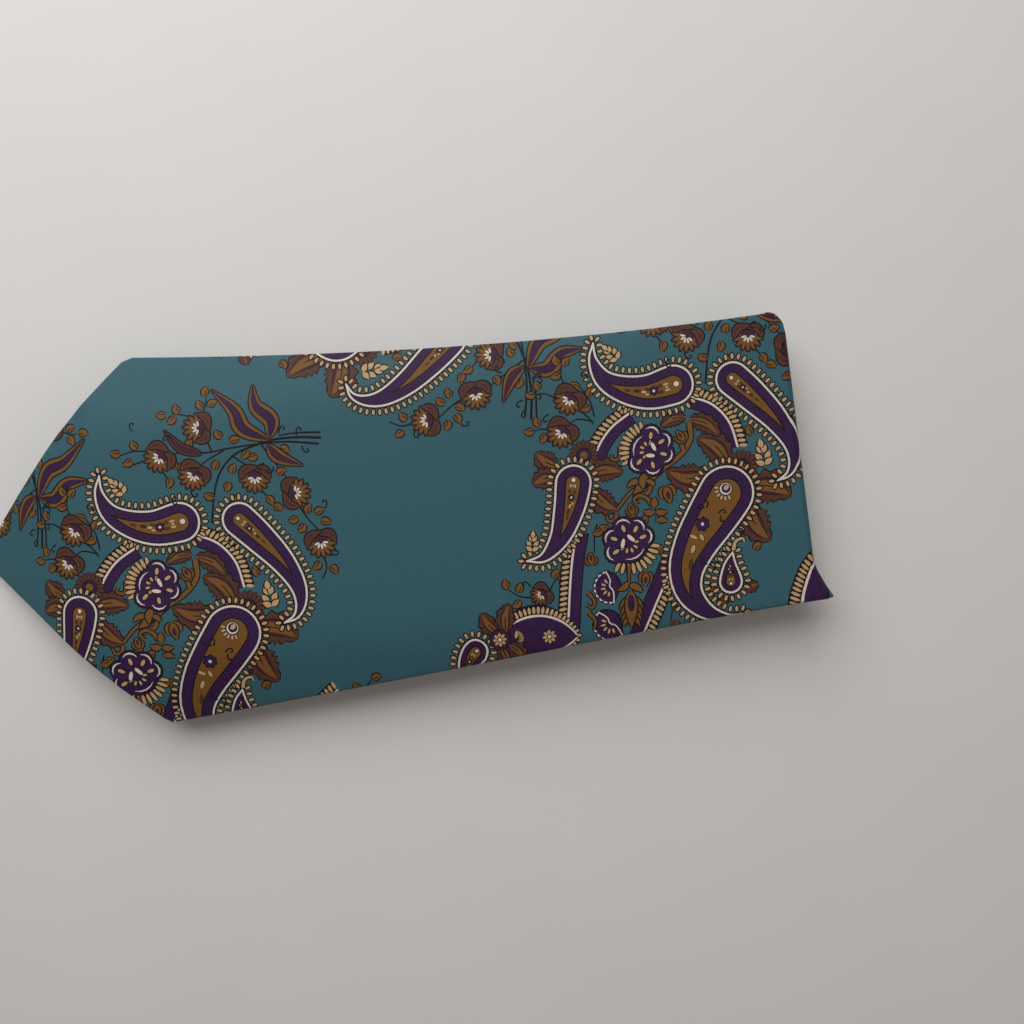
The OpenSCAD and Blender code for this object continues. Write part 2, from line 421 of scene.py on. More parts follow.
def ribbed_band(points, half, rib_side):
    """A purple band with a white line and a ribbed cream edge along one side."""
    path = spline(points, 8)
    ns = normals(path)

    def band(ink, middle, width):
        return ink, strip(middle, [width] * len(middle))

    edge = [p + q * rib_side * (half + 1.25) for p, q in zip(path, ns)]
    white = [p + q * rib_side * (half - 0.2) for p, q in zip(path, ns)]
    out = [band(LINE, edge, 1.25)]
    places = even(edge, max(3, round(path_len(edge) / 1.3)))
    for p, q in zip(places, normals(places)):
        lean = (q + Vector((q.y, -q.x)) * 0.3 * rib_side).normalized()
        out.append((CREAM, ellipse(p, lean, 1.05, 0.43, 8)))
    return out + [band(LINE, path, half + 0.3), band(PURPLE, path, half), band(WHITE, white, 0.27)]


# -- flowers
def scallops(centre, r, n, depth, turn=0.0, sweep=360.0, per=5):
    """A round or fan-shaped outline with n lobes."""
    c = Vector(centre)
    total = n * per
    pts = []
    for i in range(total + (0 if sweep == 360.0 else 1)):
        lobe = abs(math.sin(math.pi * i / per))
        pts.append(c + unit(turn + sweep * i / total) * r * (1 - depth + depth * lobe))
    return pts if sweep == 360.0 else pts + [c]


def petals(centre, r, start, gap, count, half_long, half_wide, ink, line=0.15):
    """Petals round a centre, each pointing away from it."""
    c = Vector(centre)
    out = []
    for i in range(count):
        d = unit(start + i * gap)
        out += outlined(ink, c + d * r, d, half_long, half_wide, line, 8)
    return out


def rosette(centre, r, lobes, fan_from, fan_to):
    """A purple flower: broad lobes on one side, and a fan of cream petals round the other."""
    c = Vector(centre)
    gap = (fan_to - fan_from) / 9
    out = petals(c, r * 0.98, fan_from, gap, 10, r * 0.22, r * 0.07, CREAM, 0.3)
    spots = [c + unit(angle) * r * 0.6 for angle in lobes]
    for ink, grow in ((LINE, 0.38), (PURPLE, 0.0)):
        out += discs(c, 18, (ink, r * 0.73 + grow))
        for spot in spots:
            out += discs(spot, 14, (ink, r * 0.4 + grow))
    for angle, spot in zip(lobes, spots):
        d = unit(angle)
        cut = [spot + unit(angle + a) * r * 0.4 for a in (118, 142, 166)]
        out.append((LINE, strip(cut, [0.09, 0.12, 0.05])))
        arc = [spot + unit(angle + a) * r * 0.31 for a in (-75, -45, -15, 15, 45)]
        out.append((WHITE, strip(arc, [0.05, 0.19, 0.24, 0.17, 0.04])))
        out += outlined(CREAM, c + d * r * 0.58, d, r * 0.14, r * 0.07, 0.25)
    middle = (fan_from + fan_to) / 2
    rim = [c + unit(middle + a) * r * 0.62 for a in (-40, -20, 0, 20, 40)]
    out.append((WHITE, strip(rim, [0.04, 0.14, 0.2, 0.14, 0.04])))
    out += petals(c, r * 0.3, fan_from - 25, 37, 5, r * 0.095, r * 0.05, CREAM, 0.2)
    for turn, reach in ((middle - 115, 0.22), (middle + 125, 0.2)):
        out += outlined(WHITE, c + unit(turn) * r * reach, unit(turn + 75), r * 0.19, r * 0.075, 0.22)
    return out


def blossom(centre, facing, r=3.7):
    """A brown flower seen from the side: ribs below, broad petals above, white stamens between."""
    c, f = Vector(centre), unit(facing)
    side = Vector((-f.y, f.x))
    out = []
    for ink, grow in ((BROWN, -0.06), (GOLD, -0.24)):
        for i in range(9):
            d = unit(facing + 76 + i * 26)
            spot = c + d * r * 0.62
            if ink == BROWN:
                out.append((LINE, ellipse(spot, d, r * 0.42 + 0.28, r * 0.17 + 0.24, 10)))
            spot -= d * 0.25 * (ink == GOLD)
            out.append((ink, ellipse(spot, d, r * 0.42 + grow, r * 0.17 + grow, 10)))
    out.append((PLUM, ellipse(c + f * r * 0.12, side, r * 0.5, r * 0.34, 12)))
    for way in (-1, 1):
        root = c + side * way * r * 0.98 - f * r * 0.12
        over = c - side * way * r * 0.22 + f * r * (0.78 if way > 0 else 0.62)
        bow = [root, c + side * way * r * 0.66 + f * r * 0.56, over]
        out += leaf_along(spline(bow, 5), r * 0.27, BROWN, None, 0.9)
        out.append((PLUM, strip(spline(bow, 5)[2:8], [0.03, 0.14, 0.18, 0.18, 0.12, 0.03])))
    for i in range(5):
        d = unit(facing + 180 - 76 + i * 38)
        spot = c + d * r * 0.3 + f * r * 0.06
        out += outlined(WHITE, spot, d, r * 0.19, r * 0.08, 0.14, 8)
    return out


def half_daisy(centre, facing, r=3.6):
    """Brown ribs round a purple arc, as a crown on a paisley's head."""
    c = Vector(centre)
    out = petals(c, r * 0.78, facing - 105, 21, 11, r * 0.3, r * 0.145, BROWN, 0.18)
    out += discs(c, 14, (LINE, r * 0.56), (PURPLE, r * 0.5))
    return out + discs(c, 12, (LINE, r * 0.34), (GOLD, r * 0.28))


def fan_flower(centre, facing, r=4.3):
    """A half-open purple flower: a scalloped rim, a white wavy lip, and a petal behind it."""
    c, f = Vector(centre), unit(facing)
    side = Vector((-f.y, f.x))
    behind = [c + side * r * 0.94, c + side * r * 0.4 - f * r * 0.36, c - f * r * 0.6 - side * r * 0.1,
              c - side * r * 0.62 - f * r * 0.42, c - side * r * 0.94]
    out = [(LINE, strip(spline(behind, 5), [0.3] * 21)), (PURPLE, behind),
           (LINE, scallops(c, r * 1.05, 9, 0.1, facing - 94, 188)),
           (PURPLE, scallops(c, r * 0.98, 9, 0.1, facing - 92, 184))]
    for i in range(9):
        turn = facing - 80 + i * 20
        edge = [c + unit(turn + a) * r * (0.93 if a == 0 else 0.89) for a in (-7, 0, 7)]
        out.append((WHITE, strip(edge, [0.1, 0.24, 0.1])))
    lip = [c + side * r * 0.96, c + side * r * 0.3 - f * r * 0.12, c + f * r * 0.02 - side * r * 0.06,
           c - side * r * 0.4 - f * r * 0.08, c - side * r * 0.96 + f * r * 0.05]
    out += [(ink, strip(spline(lip, 6), [half] * 25)) for ink, half in ((LINE, 0.3), (WHITE, 0.16))]
    return out + petals(c, r * 0.42, facing - 66, 33, 5, r * 0.15, r * 0.065, CREAM, 0.13)


def daisy(centre, r, ink=CREAM, count=8):
    """A small round flower seen from the front."""
    out = petals(centre, r * 0.62, 0, 360 / count, count, r * 0.3, r * 0.2, ink, 0.14)
    return out + discs(centre, 8, (WHITE, r * 0.24))


# -- leaves and stems
def leaf_path(base, tip, bend, n=8):
    b, t = Vector(base), Vector(tip)
    side = Vector((-(t - b).y, (t - b).x)) * bend
    return spline([b, b.lerp(t, 0.5) + side, t], n)


def leaf_along(path, width, ink, vein=None, fullest=0.8):
    """A pointed leaf along a path, with a dark outline, and a striped middle if asked for."""
    n = len(path) - 1
    shape = [math.sin(math.pi * (i / n) ** fullest) ** 0.9 for i in range(n + 1)]
    stripes = [(ink, width)]
    if vein is not None:
        stripes += [(LINE, width * 0.56), (vein, width * 0.42)]
    out = [(LINE, strip(path, [width * q + 0.36 for q in shape]))]
    return out + [(tint, strip(path, [max(THINNEST, w * q) for q in shape])) for tint, w in stripes]


def leaf(base, tip, width=1.0, bend=0.12, ink=GOLD, vein=None):
    return leaf_along(leaf_path(base, tip, bend, 5), width, ink, vein)


def leaflet(x, y, angle, long=2.7, width=0.85, ink=GOLD):
    """A small leaf round its own middle, with a vein line."""
    c, d = Vector((x, y)), unit(angle)
    out = leaf(c - d * long / 2, c + d * long / 2, width, 0.1, ink)
    out.append((LINE, strip([c - d * long * 0.45, c, c + d * long * 0.2], [0.14, 0.12, 0.03])))
    return out


def serrated_leaf(base, tip, width, bend=0.1, teeth=5):
    """A broad leaf with toothed edges, and a gold heart inside a plum line."""
    path = even(leaf_path(base, tip, bend, 12), teeth * 2)
    n = len(path) - 1

    def body(t):
        return math.sin(math.pi * t ** 0.82) ** 0.75 if 0 < t < 1 else 0.0

    toothed = [body(i / n) * (1.26 if i % 2 else 0.92) for i in range(n + 1)]
    middle = even(path[:-1], 12)
    heart = [body(0.02 + 0.93 * i / 12) for i in range(13)]
    out = [(LINE, strip(path, [width * q + 0.38 for q in toothed])),
           (BROWN, strip(path, [max(THINNEST, width * q - 0.02) for q in toothed]))]
    for ink, share in ((LINE, 0.62), (PLUM, 0.55), (GOLD, 0.38)):
        out.append((ink, strip(middle, [max(THINNEST, q * width * share) for q in heart])))
    return out + [(LINE, strip(middle[1:8], [0.14] * 6 + [0.03]))]


def plume(base, tip, width):
    """A gold leaf with a purple drop at its heart and four side shoots on each side."""
    b, t = Vector(base), Vector(tip)
    axis = (t - b).normalized()
    side = Vector((-axis.y, axis.x))
    out = []
    for way in (-1, 1):
        for share in (0.16, 0.34, 0.52, 0.7):
            root = b.lerp(t, share)
            reach = width * (1.5 - share * 0.7)
            out += leaf(root, root + axis * reach * 1.15 + side * way * reach, width * 0.26, 0.1 * way, GOLD)
    out += leaf(b, t, width * 0.72, 0.0, GOLD)
    drop = b.lerp(t, 0.34)
    return out + [(LINE, ellipse(drop, axis, width * 1.02, width * 0.42, 12)),
                  (PURPLE, ellipse(drop, axis, width * 0.9, width * 0.32, 12))]


def bud(x, y, facing, size=2.4):
    """Three gold leaves round a plum heart."""
    c, f = Vector((x, y)), unit(facing)
    root = c - f * size * 0.4
    out = []
    for turn, bend in ((-48, -0.1), (48, 0.1)):
        out += leaf(root, c + unit(facing + turn) * size * 0.75, size * 0.3, bend)
    out += leaf(root, c + f * size, size * 0.34, 0.0, GOLD)
    out += outlined(PLUM, c + f * size * 0.35, f, size * 0.3, size * 0.14, 0.08, 8)
    return out


def hook(points, width=0.55, ink=GOLD):
    """A thick curled shoot."""
    path = spline(points, 6)
    n = len(path) - 1
    shape = [width * (1 - 0.55 * i / n) for i in range(n + 1)]
    return [(LINE, strip(path, [w + 0.32 for w in shape])), (ink, strip(path, shape))]


def curl(start, facing, size=1.6, side=1):
    """A tendril that ends in a small curl."""
    p, d = Vector(start), unit(facing)
    n = Vector((-d.y, d.x)) * side
    pts = [p, p + d * size * 0.8, p + d * size * 1.4 + n * size * 0.4,
           p + d * size * 1.2 + n * size * 0.95, p + d * size * 0.75 + n * size * 0.75]
    return stroke(pts, 0.42, 0.2)


def crown(base, facing, size=3.4, ink=CREAM):
    """A small plant of overlapping leaves that ends a paisley's curl."""
    b, f = Vector(base), unit(facing)
    side = Vector((-f.y, f.x))
    out = []
    for along, across, turn in ((0.35, 0.42, 35), (0.35, -0.42, -35), (0.0, 0.34, 60), (0.0, -0.34, -60),
                                (0.8, 0.22, 15), (0.8, -0.22, -15), (1.1, 0.0, 0)):
        d = unit(facing + turn)
        spot = b + f * size * along + side * size * across * 0.6
        out += leaf(spot - d * size * 0.22, spot + d * size * 0.34, size * 0.17, 0.0, ink)
    return out


def heart_body():
    """A broad purple leaf shape on its side, with a ribbed rim and a daisy."""
    path = spline([(-41, -43), (-34, -42.5), (-28, -42.8), (-22.6, -43.6)], 8)
    n = len(path) - 1
    shape = [math.sin(math.pi * min(1.0, 0.2 + 0.8 * i / n)) ** 0.8 for i in range(n + 1)]
    shape[-1] = 0.0
    out = [(LINE, strip(path, [8.0 * q + 0.4 for q in shape]))]
    rim = strip(path, [6.9 * q for q in shape])
    out += beads(rim, 1.12, 0.98, 0.4)
    for ink, grow in ((LINE, 0.3), (WHITE, 0.08), (PURPLE, -0.5)):
        out.append((ink, strip(path, [max(THINNEST, 5.7 * q + grow) for q in shape])))
    out += daisy((-29.8, -42.7), 1.9)
    for x, y, angle in ((-33.5, -40, 60), (-34, -45, 110), (-32, -46, 60)):
        out += [(LINE, ellipse((x, y), unit(angle), 0.8, 0.42, 8)),
                (PLUM, ellipse((x, y), unit(angle), 0.6, 0.26, 8))]
    return out


def heart_flower():
    """What stands beside the heart: a small paisley, leaves and a daisy, and a ribbed arc."""
    out = ribbed_band([(32.4, -48), (33.5, -43.8), (35.6, -40), (38.8, -36), (43, -32.6)], 2.2, 1)
    out += paisley([(-46, -42.5), (-49, -44.5), (-51.5, -48.5), (-52, -53.5)], 3.2, 1.5, 1.4)
    out += petals((-38.2, -42), 1.0, -75, 19, 9, 1.05, 0.4, CREAM, 0.2)
    for base, tip, width in [((-42.5, -40), (-46, -34.5), 1.9), ((-40.5, -40), (-38.8, -33), 2.0),
                             ((-42, -44), (-41, -49.5), 2.0), ((-40, -43.5), (-36.5, -48), 1.8)]:
        out += serrated_leaf(base, tip, width, 0.08, 4)
    out += [(LINE, scallops((-42.2, -41.8), 2.9, 8, 0.14)), (PLUM, scallops((-42.2, -41.8), 2.6, 8, 0.15))]
    out += daisy((-42.2, -41.8), 1.9)
    return out


def inside_big_paisley():
    """A half daisy, curls, a flower and leaves in the big paisley's field."""
    daisy_at, flower_at = (18.2, -12.6), (11.4, -20.4)
    out = discs(daisy_at, 14, (LINE, 1.75), (WHITE, 1.5)) + discs((18.3, -12.5), 14, (PURPLE, 1.2))
    out += outlined(CREAM, (18.4, -12.3), unit(40), 0.8, 0.6, 0.1)
    out += petals(daisy_at, 2.35, 165, 24, 6, 0.62, 0.33, CREAM, 0.16)
    for start, facing, size, side in [((12.8, -16.6), 60, 1.2, 1), ((15.6, -18.4), 40, 1.2, -1),
                                      ((12.4, -16.2), 200, 1.0, -1), ((16.2, -19), 250, 1.0, 1)]:
        out += curl(start, facing, size, side)
    out += [(LINE, scallops(flower_at, 1.9, 7, 0.2)), (PURPLE, scallops(flower_at, 1.65, 7, 0.22))]
    out += discs(flower_at, 8, (WHITE, 0.42))
    for ink, place, angle, half_long, half_wide, line in [
            (CREAM, (8.8, -23.2), 150, 1.05, 0.46, 0.16), (CREAM, (10.8, -23.6), 110, 0.95, 0.42, 0.16),
            (CREAM, (8.3, -26.2), 65, 1.15, 0.5, 0.16), (BROWN, (7.3, -30), 75, 1.3, 0.4, 0.14)]:
        out += outlined(ink, place, unit(angle), half_long, half_wide, line)
    return out


STEM_WEIGHT = 1.3
STEMS = [
    ([(46, 32.2), (40, 33), (34, 33), (29, 32), (24, 30.3), (20.3, 26.7), (18.2, 22.2), (16.4, 14)], 0.5),
    ([(45.2, 30.8), (37, 32.2), (29, 32.3), (22.6, 32), (17, 31.5), (13, 32.4), (8, 31.8)], 0.42),
    ([(46, 33.6), (40, 34.1), (35.5, 33.9)], 0.4), ([(21.5, 31.6), (17.5, 29.8), (14.5, 28)], 0.36),
    ([(18.5, 31.6), (17.8, 34), (16.4, 36)], 0.36), ([(23.5, 30), (26, 28), (28, 26.5)], 0.36),
    ([(31, 32), (34, 27), (36.8, 22.4)], 0.36), ([(38, 17), (40, 13), (42.6, 9.4)], 0.36),
    ([(43, 3), (43.4, 0), (42, -2.8)], 0.36), ([(5, 29), (6.8, 26), (7.4, 23.4)], 0.34),
    ([(4, 33), (-0.6, 33.6), (-4.4, 32.8)], 0.34), ([(1.5, 31), (-0.6, 30.4), (-2.6, 30)], 0.34),
    ([(15, 40.5), (12.6, 41.4), (9.6, 42.2)], 0.34), ([(16.8, 40.6), (18, 43), (18.4, 45.4)], 0.34),
    ([(28.4, 21.8), (30.6, 19.6), (31.8, 17.4)], 0.34), ([(-12.4, 8.4), (-14, 10.6), (-16.6, 13)], 0.36),
    ([(-12, 10), (-12.6, 14), (-14.6, 18)], 0.34), ([(-17.8, 17.8), (-19, 21), (-18.4, 24.4)], 0.34),
    ([(-20.6, 15.6), (-23.4, 17.4), (-26, 17.6)], 0.34), ([(-22.6, 7.6), (-25, 8.8), (-27.4, 8.6)], 0.34),
    ([(-12.8, 9), (-16, 10), (-18.4, 9.2)], 0.34), ([(-33.2, -32.4), (-36, -31.6), (-38.6, -29.6)], 0.34),
    ([(-28.4, -31.4), (-27, -29.2), (-25.6, -28.6)], 0.34),
    ([(1, -36.6), (1.4, -40), (0.6, -43.4)], 0.34),
    ([(-14.6, -16.4), (-15.6, -19.4), (-16.2, -23.6)], 0.34),
]
SERRATED = [
    ((14.5, -8.5), (4.1, -5.9), 3.0, 0.14), ((19.6, -6), (12.6, 1), 2.9, -0.12),
    ((24.4, -12.8), (34.2, -16.8), 3.5, 0.1), ((23.2, -17), (27.6, -27.2), 3.3, -0.1),
    ((-14.6, -3.8), (-6.6, -4.7), 2.4, 0.1), ((-14.8, -8), (-8.8, -14), 2.4, -0.1),
    ((-22.6, -1), (-27.6, 3.4), 2.3, 0.1), ((-23.4, -3.6), (-29.4, -4.6), 2.3, -0.1),
    ((11.3, 6), (18.4, 0.6), 1.9, 0.12), ((10.6, 6.6), (4, 5), 1.5, -0.12),
    ((20.2, -38.6), (23.4, -37.2), 1.2, 0.1), ((13.4, -36.4), (10.4, -36.6), 1.1, 0.1),
    ((14.4, -38.6), (13.4, -41.4), 1.1, 0.1),
]
LEAFLETS = [
    (20.7, 35.9, 130), (19.3, 28.2, 70), (23.4, 26.8, 60), (28.4, 29.4, 200), (21.2, 22.6, 250),
    (7, 25, 250), (-0.4, 35.2, 120), (-2.6, 31, 200), (-5.4, 33.6, 170), (9.2, 40.6, 220),
    (10.9, 43.2, 110), (6.8, 42.2, 180), (18.4, 47, 80), (19.9, 43.6, 30), (16.8, 43.8, 120),
    (35.2, 24.8, 20), (31.4, 18, 300), (33.2, 16, 330), (36.6, 12.8, 200), (38.4, 10.4, 230),
    (40.8, 15, 60), (43.4, 14, 20), (44.6, 11.2, 340), (41, 0.8, 220), (45, -0.8, 300), (26, 1, 110),
    (16.6, 20.8, 160), (24.6, 33.9, 20), (26.6, 30.2, 230), (13.4, 34.2, 70), (10.6, 28.6, 140),
    (9, 29.6, 100), (-12.2, 16.2, 60), (-15.8, 18.6, 150), (-14, 12.6, 200), (-19.6, 25.4, 110),
    (-17.2, 24.6, 50), (-20.4, 21.6, 190), (-27.2, 17.8, 170), (-25, 19.8, 110), (-28.6, 8.8, 180),
    (-26.2, 10.8, 110), (-25.4, 6.6, 240), (-12.8, -17.6, 150), (-14.8, -18.4, 200), (-38.8, -28.2, 110),
    (-37, -33.4, 220), (-35.4, -29.6, 60), (-26.2, -27.4, 50), (-24.9, -29.9, 300), (1.6, -44.4, 260),
    (2.6, -39.6, 30), (-6, -15.6, 200), (22.6, 19.4, 240), (36.6, 30.2, 330), (0.4, -25.2, 60),
    (1.4, -28.2, 330), (-2.6, -17.4, 60), (24.4, -28, 40),
]
RIBBED_BANDS = [
    ([(-2.6, 8.6), (-7.4, 5.8), (-10.8, 2), (-12.6, -2)], 1.4, -1),
    ([(11.6, 10.4), (16.6, 7.8), (20, 3.2), (21.3, -3)], 1.4, 1),
    ([(-18.6, -18), (-20.4, -24), (-21.9, -31), (-23.8, -42)], 1.5, -1),
    ([(2.4, -27), (-0.4, -32), (-4.2, -38.6), (-8.3, -46)], 1.6, 1),
]
STRIPED_LEAVES = [
    ([(33.2, 33), (27, 36.5), (25, 41.5), (19.6, 47.4)], 2.0, GOLD, PURPLE),
    ([(33.2, 33.4), (34, 38), (30.6, 42), (30.2, 47.6)], 2.0, GOLD, PURPLE),
    ([(32.5, 32), (35, 28.6), (40.8, 25.8)], 1.6, GOLD, PLUM),
    ([(16.1, 31.2), (10.8, 33.5), (7.2, 38.2)], 1.15, BROWN, PLUM),
]
BRANCH = [
    ([(11.2, 5.4), (11, 1), (8, -2.6), (3.6, -5.2), (-0.6, -8), (-5.4, -10), (-9.2, -13.6)], 0.62),
    ([(9, -1.6), (8.2, 1), (6, 1.6), (5.2, 0.2)], 0.5), ([(3, -5.8), (0.6, -4.6), (-1.6, -4.8)], 0.5),
    ([(0.4, -7.6), (-1.2, -10.8), (-4, -10.4), (-4.4, -12.2), (-3.2, -12.6)], 0.5),
    ([(-0.4, -14), (-1.4, -12.2), (-3.2, -11), (-4.8, -11.8), (-4.2, -13)], 0.5),
    ([(-9.4, -14.4), (-10, -16), (-11.6, -16.2), (-12, -14.8)], 0.45),
]
BRANCH_LEAVES = [
    ((-1.6, -5.6), (-4.8, -10.4), 1.15, 0.16), ((-2.4, -7.4), (-6.2, -8.6), 0.7, -0.12),
    ((-0.8, -5.8), (-2.2, -9.6), 0.95, -0.14), ((-1.2, -7.6), (0.8, -9.4), 0.6, 0.14),
]
SPRIG_LEAVES = [
    ((0.1, -14.6), (0.3, -11.8), 0.8, 0.0), ((0, -15.6), (-2.9, -15), 0.75, 0.1),
    ((0.2, -15.6), (3.1, -15.9), 0.75, -0.1), ((0.2, -17.8), (2.9, -18.4), 0.7, 0.1),
]
BUDS = [
    (3.6, -11, 280, 3.2), (9, 1.6, 120, 2.4), (-4.2, -31.2, 260, 2.6), (-17.2, -25.4, 90, 2.3),
    (-5.6, -14.6, 100, 2.2),
]
BLOSSOMS = [
    (15.7, 37.9, -8), (5.3, 31.4, 38), (13.3, 26.2, 55), (28.4, 24, 83), (38, 19.3, 183), (42.8, 6.2, 95),
    (-17.8, 15.1, 50), (-20.6, 7.2, 50),
]
CURLS = [
    (35.6, 34.4, 75, -1), (9, 36, 150, 1), (44.8, 14.6, 60, 1), (33.4, 26.4, 250, -1),
    (-12.4, 19.4, 100, 1), (8, 21.6, 240, 1), (40, 33.4, 90, -1), (41, 30.8, 280, 1),
    (12.6, -32.4, 60, 1), (11.4, -30.4, 160, -1), (-25.8, 21.4, 60, -1), (44.6, 3.4, 330, 1),
    (31.2, 27.4, 190, 1), (-23.2, 12.2, 200, 1), (-33, -29.6, 120, 1), (20, -22.6, 330, -1),
    (-0.6, 38.6, 120, -1), (12.2, 22.6, 280, 1), (-28.6, 14.2, 210, 1),
]


def each(draw, rows):
    """One drawing after another, from a table with a row for each."""
    return [shape for row in rows for shape in draw(*row)]


def twigs():
    """The thin stems with their small leaves, the ribbed bands and the striped leaves."""
    out = [shape for points, width in STEMS for shape in stroke(points, width * STEM_WEIGHT, 0.3)]
    out += each(leaflet, LEAFLETS) + each(ribbed_band, RIBBED_BANDS)
    for points, width, ink, vein in STRIPED_LEAVES:
        out += leaf_along(spline(points, 7), width, ink, vein)
    return out + each(serrated_leaf, SERRATED)


def branch():
    """The gold branch that winds between the purple flowers, a sprig beside it, and buds."""
    out = each(hook, BRANCH) + each(leaf, BRANCH_LEAVES)
    out += stroke([(0.2, -13.2), (0.2, -16), (-0.4, -18.6)], 0.34) + each(leaf, SPRIG_LEAVES)
    return out + hook([(-6.6, 1.6), (-7.2, -1.2), (-9, -1), (-8.8, 0.2)], 0.42) + each(bud, BUDS)


def paisleys():
    """The five paisleys with their crowns."""
    out = half_daisy((22.8, -7.8), 55, 3.9) + half_daisy((-15.8, 0.9), 65, 3.5)
    out += paisley([(13.3, 15.9), (8, 14.9), (2, 14.2), (-4, 15.8), (-8.6, 19), (-10.6, 24), (-10, 28.4)],
                   4.9, 1.45)
    out += paisley([(20.4, 17.2), (23.8, 13.6), (28, 8.8), (32.6, 2.8), (35.6, -3.2), (36, -7.8),
                    (34.4, -11.2), (31.2, -12.6)], 4.2, 1.6)
    out += paisley([(22, -8.2), (18, -14), (13.5, -19.5), (9, -25.2), (6, -31.2), (6.2, -37.2), (10, -42.2),
                    (15, -44.4), (18.6, -44)], 6.8, 1.45, 2.7, heart=False)
    out += inside_big_paisley()
    out += paisley([(16.6, -38.4), (16.7, -35), (17, -31.4), (18, -28.4)], 2.8, 1.4, 1.2)
    out += hook([(18.2, -28), (19, -26), (20.8, -25.4), (21.2, -26.4)], 0.45, CREAM)
    out += paisley([(-18.4, -1.2), (-19.6, -7), (-21.3, -12.4), (-24.2, -18.5), (-28.6, -22.8),
                    (-33.2, -23.2)], 4.4, 1.5)
    return out + each(crown, [((-4.8, 23.8), 130, 3.4), ((28.6, -7.6), 95, 4.2), ((-31.4, -20.4), 80, 3.2)])


def flowers():
    """The purple flowers, the half-open ones below them, and the brown blossoms."""
    out = rosette((0.5, -0.3), 6.4, (77, 28, -22, -83, -139), 101, 199)
    out += rosette((-7.4, -22.3), 6.6, (15, 56, 103, 156, 207), -122, -14)
    out += fan_flower((-13.3, -32.5), 186) + fan_flower((-14.2, -41.6), 217, 4.6)
    out += plume((-8.3, -34), (-9.2, -43.4), 2.1) + hook([(-8, -27.6), (-8.2, -29.6), (-8.6, -32)], 0.4)
    out += leaf((-8.6, -32.6), (-5.4, -35), 0.8, 0.1) + leaf((-8.6, -32), (-11.6, -33.6), 0.7, 0.1)
    out += each(blossom, [((x, y), facing) for x, y, facing in BLOSSOMS]) + blossom((-30.6, -32), 30, 2.7)
    out += hook([(-19, -33), (-17.6, -35.4), (-18.4, -37), (-19.6, -36)], 0.4)
    return out + hook([(-19.4, -38), (-18, -40.4), (-18.6, -42.6)], 0.4)


def motif(with_heart):
    """One cluster of the print, round its upper purple flower. The places are listed one by one."""
    out = twigs() + branch() + paisleys() + flowers()
    out += each(curl, [((x, y), facing, 1.35, side) for x, y, facing, side in CURLS])
    return out + (heart_body() + heart_flower() if with_heart else [])


# ---------------------------------------------------------------- the repeat of the print
PRINT_SCALE = 0.95
UPRIGHT, TURNED = motif(True), motif(False)
MOTIF_REACH = 58                          # how far a cluster reaches from its middle, each way
STEP_ALONG = Vector((119.8, 17.6))        # from one cluster to the next along the tie
STEP_ACROSS = Vector((13.3, -136.8))      # and to the next row
UPRIGHT_AT = Vector((45.7, -10.7))        # one cluster stands this way up
TURNED_AT = Vector((108.6, 61.6))         # and one, between the rows, is turned by 90 degrees
JOINS = {4: (LAYER_START[3] + LAYER_END[3]) / 2, 6: (LAYER_START[5] + LAYER_END[5]) / 2}
CUT_SHIFTS = [Vector((0, 0)), Vector((43, 57)), Vector((-31, 24))]


def cluster_at(centre, turned, s0, s1, reach):
    """The outlines of one cluster that fall on the cloth."""
    out = []
    for ink, outline in TURNED if turned else UPRIGHT:
        local = [(y, -x) if turned else (x, y) for x, y in outline]
        pts = [(centre.x + x * PRINT_SCALE, centre.y + y * PRINT_SCALE) for x, y in local]
        xs, ys = [p[0] for p in pts], [p[1] for p in pts]
        if max(xs) > s0 and min(xs) < s1 and max(ys) > -reach and min(ys) < reach:
            out.append((ink, pts))
    return out


def print_over(s0, s1, reach, shift):
    """Every outline of the print between two distances along the tie."""
    out = []
    for row in range(-3, 4):              # enough rows and steps for the whole tie
        for step in range(-2, 16):
            for base, turned in ((UPRIGHT_AT, False), (TURNED_AT, True)):
                centre = base + shift + STEP_ALONG * step + STEP_ACROSS * row
                near_s = s0 - MOTIF_REACH < centre.x < s1 + MOTIF_REACH
                if near_s and abs(centre.y) < reach + MOTIF_REACH:
                    out += cluster_at(centre, turned, s0, s1, reach)
    return out


def cuts_between(s0, s1):
    """The lengths of silk between s0 and s1: where each starts and ends, and its shift."""
    ends = [-1000.0] + sorted(JOINS.values()) + [10000.0]
    found = []
    for shift, a, b in zip(CUT_SHIFTS, ends, ends[1:]):
        if a < s1 and b > s0:
            found.append((max(a, s0 - 1), min(b, s1 + 1), shift))
    return found


# ---------------------------------------------------------------- meshes
def make_piece(name, verts, faces, material):
    """A mesh object from points in millimetres."""
    mesh = bpy.data.meshes.new(name)
    mesh.from_pydata([(x * MM, y * MM, z * MM) for x, y, z in verts], [], faces)
    mesh.materials.append(material)
    mesh.polygons.foreach_set("use_smooth", [True] * len(faces))
    mesh.update()
    obj = bpy.data.objects.new(name, mesh)
    bpy.context.scene.collection.objects.link(obj)
    return obj


INKS = [(50, 88, 98), (20, 12, 18), (50, 24, 65), (202, 190, 180), (176, 146, 106), (110, 75, 32),
        (80, 48, 34), (62, 28, 48)]
INK_GAIN = 1.36


def linear(rgb, gain=1.0):
    """An sRGB colour of 0 to 255 as linear light."""
    return tuple(min(1.0, gain * (v / 255 / 12.92 if v < 10 else ((v / 255 + 0.055) / 1.055) ** 2.4))
                 for v in rgb)


def span(a, b, n):
    return [a + (b - a) * i / n for i in range(n + 1)]


def cloth_outline(s0, s1, reach):
    line = span(s0, s1, max(2, round((s1 - s0) / 1.5)))
    return [(s, -reach(s)) for s in line] + [(s, reach(s)) for s in reversed(line)]


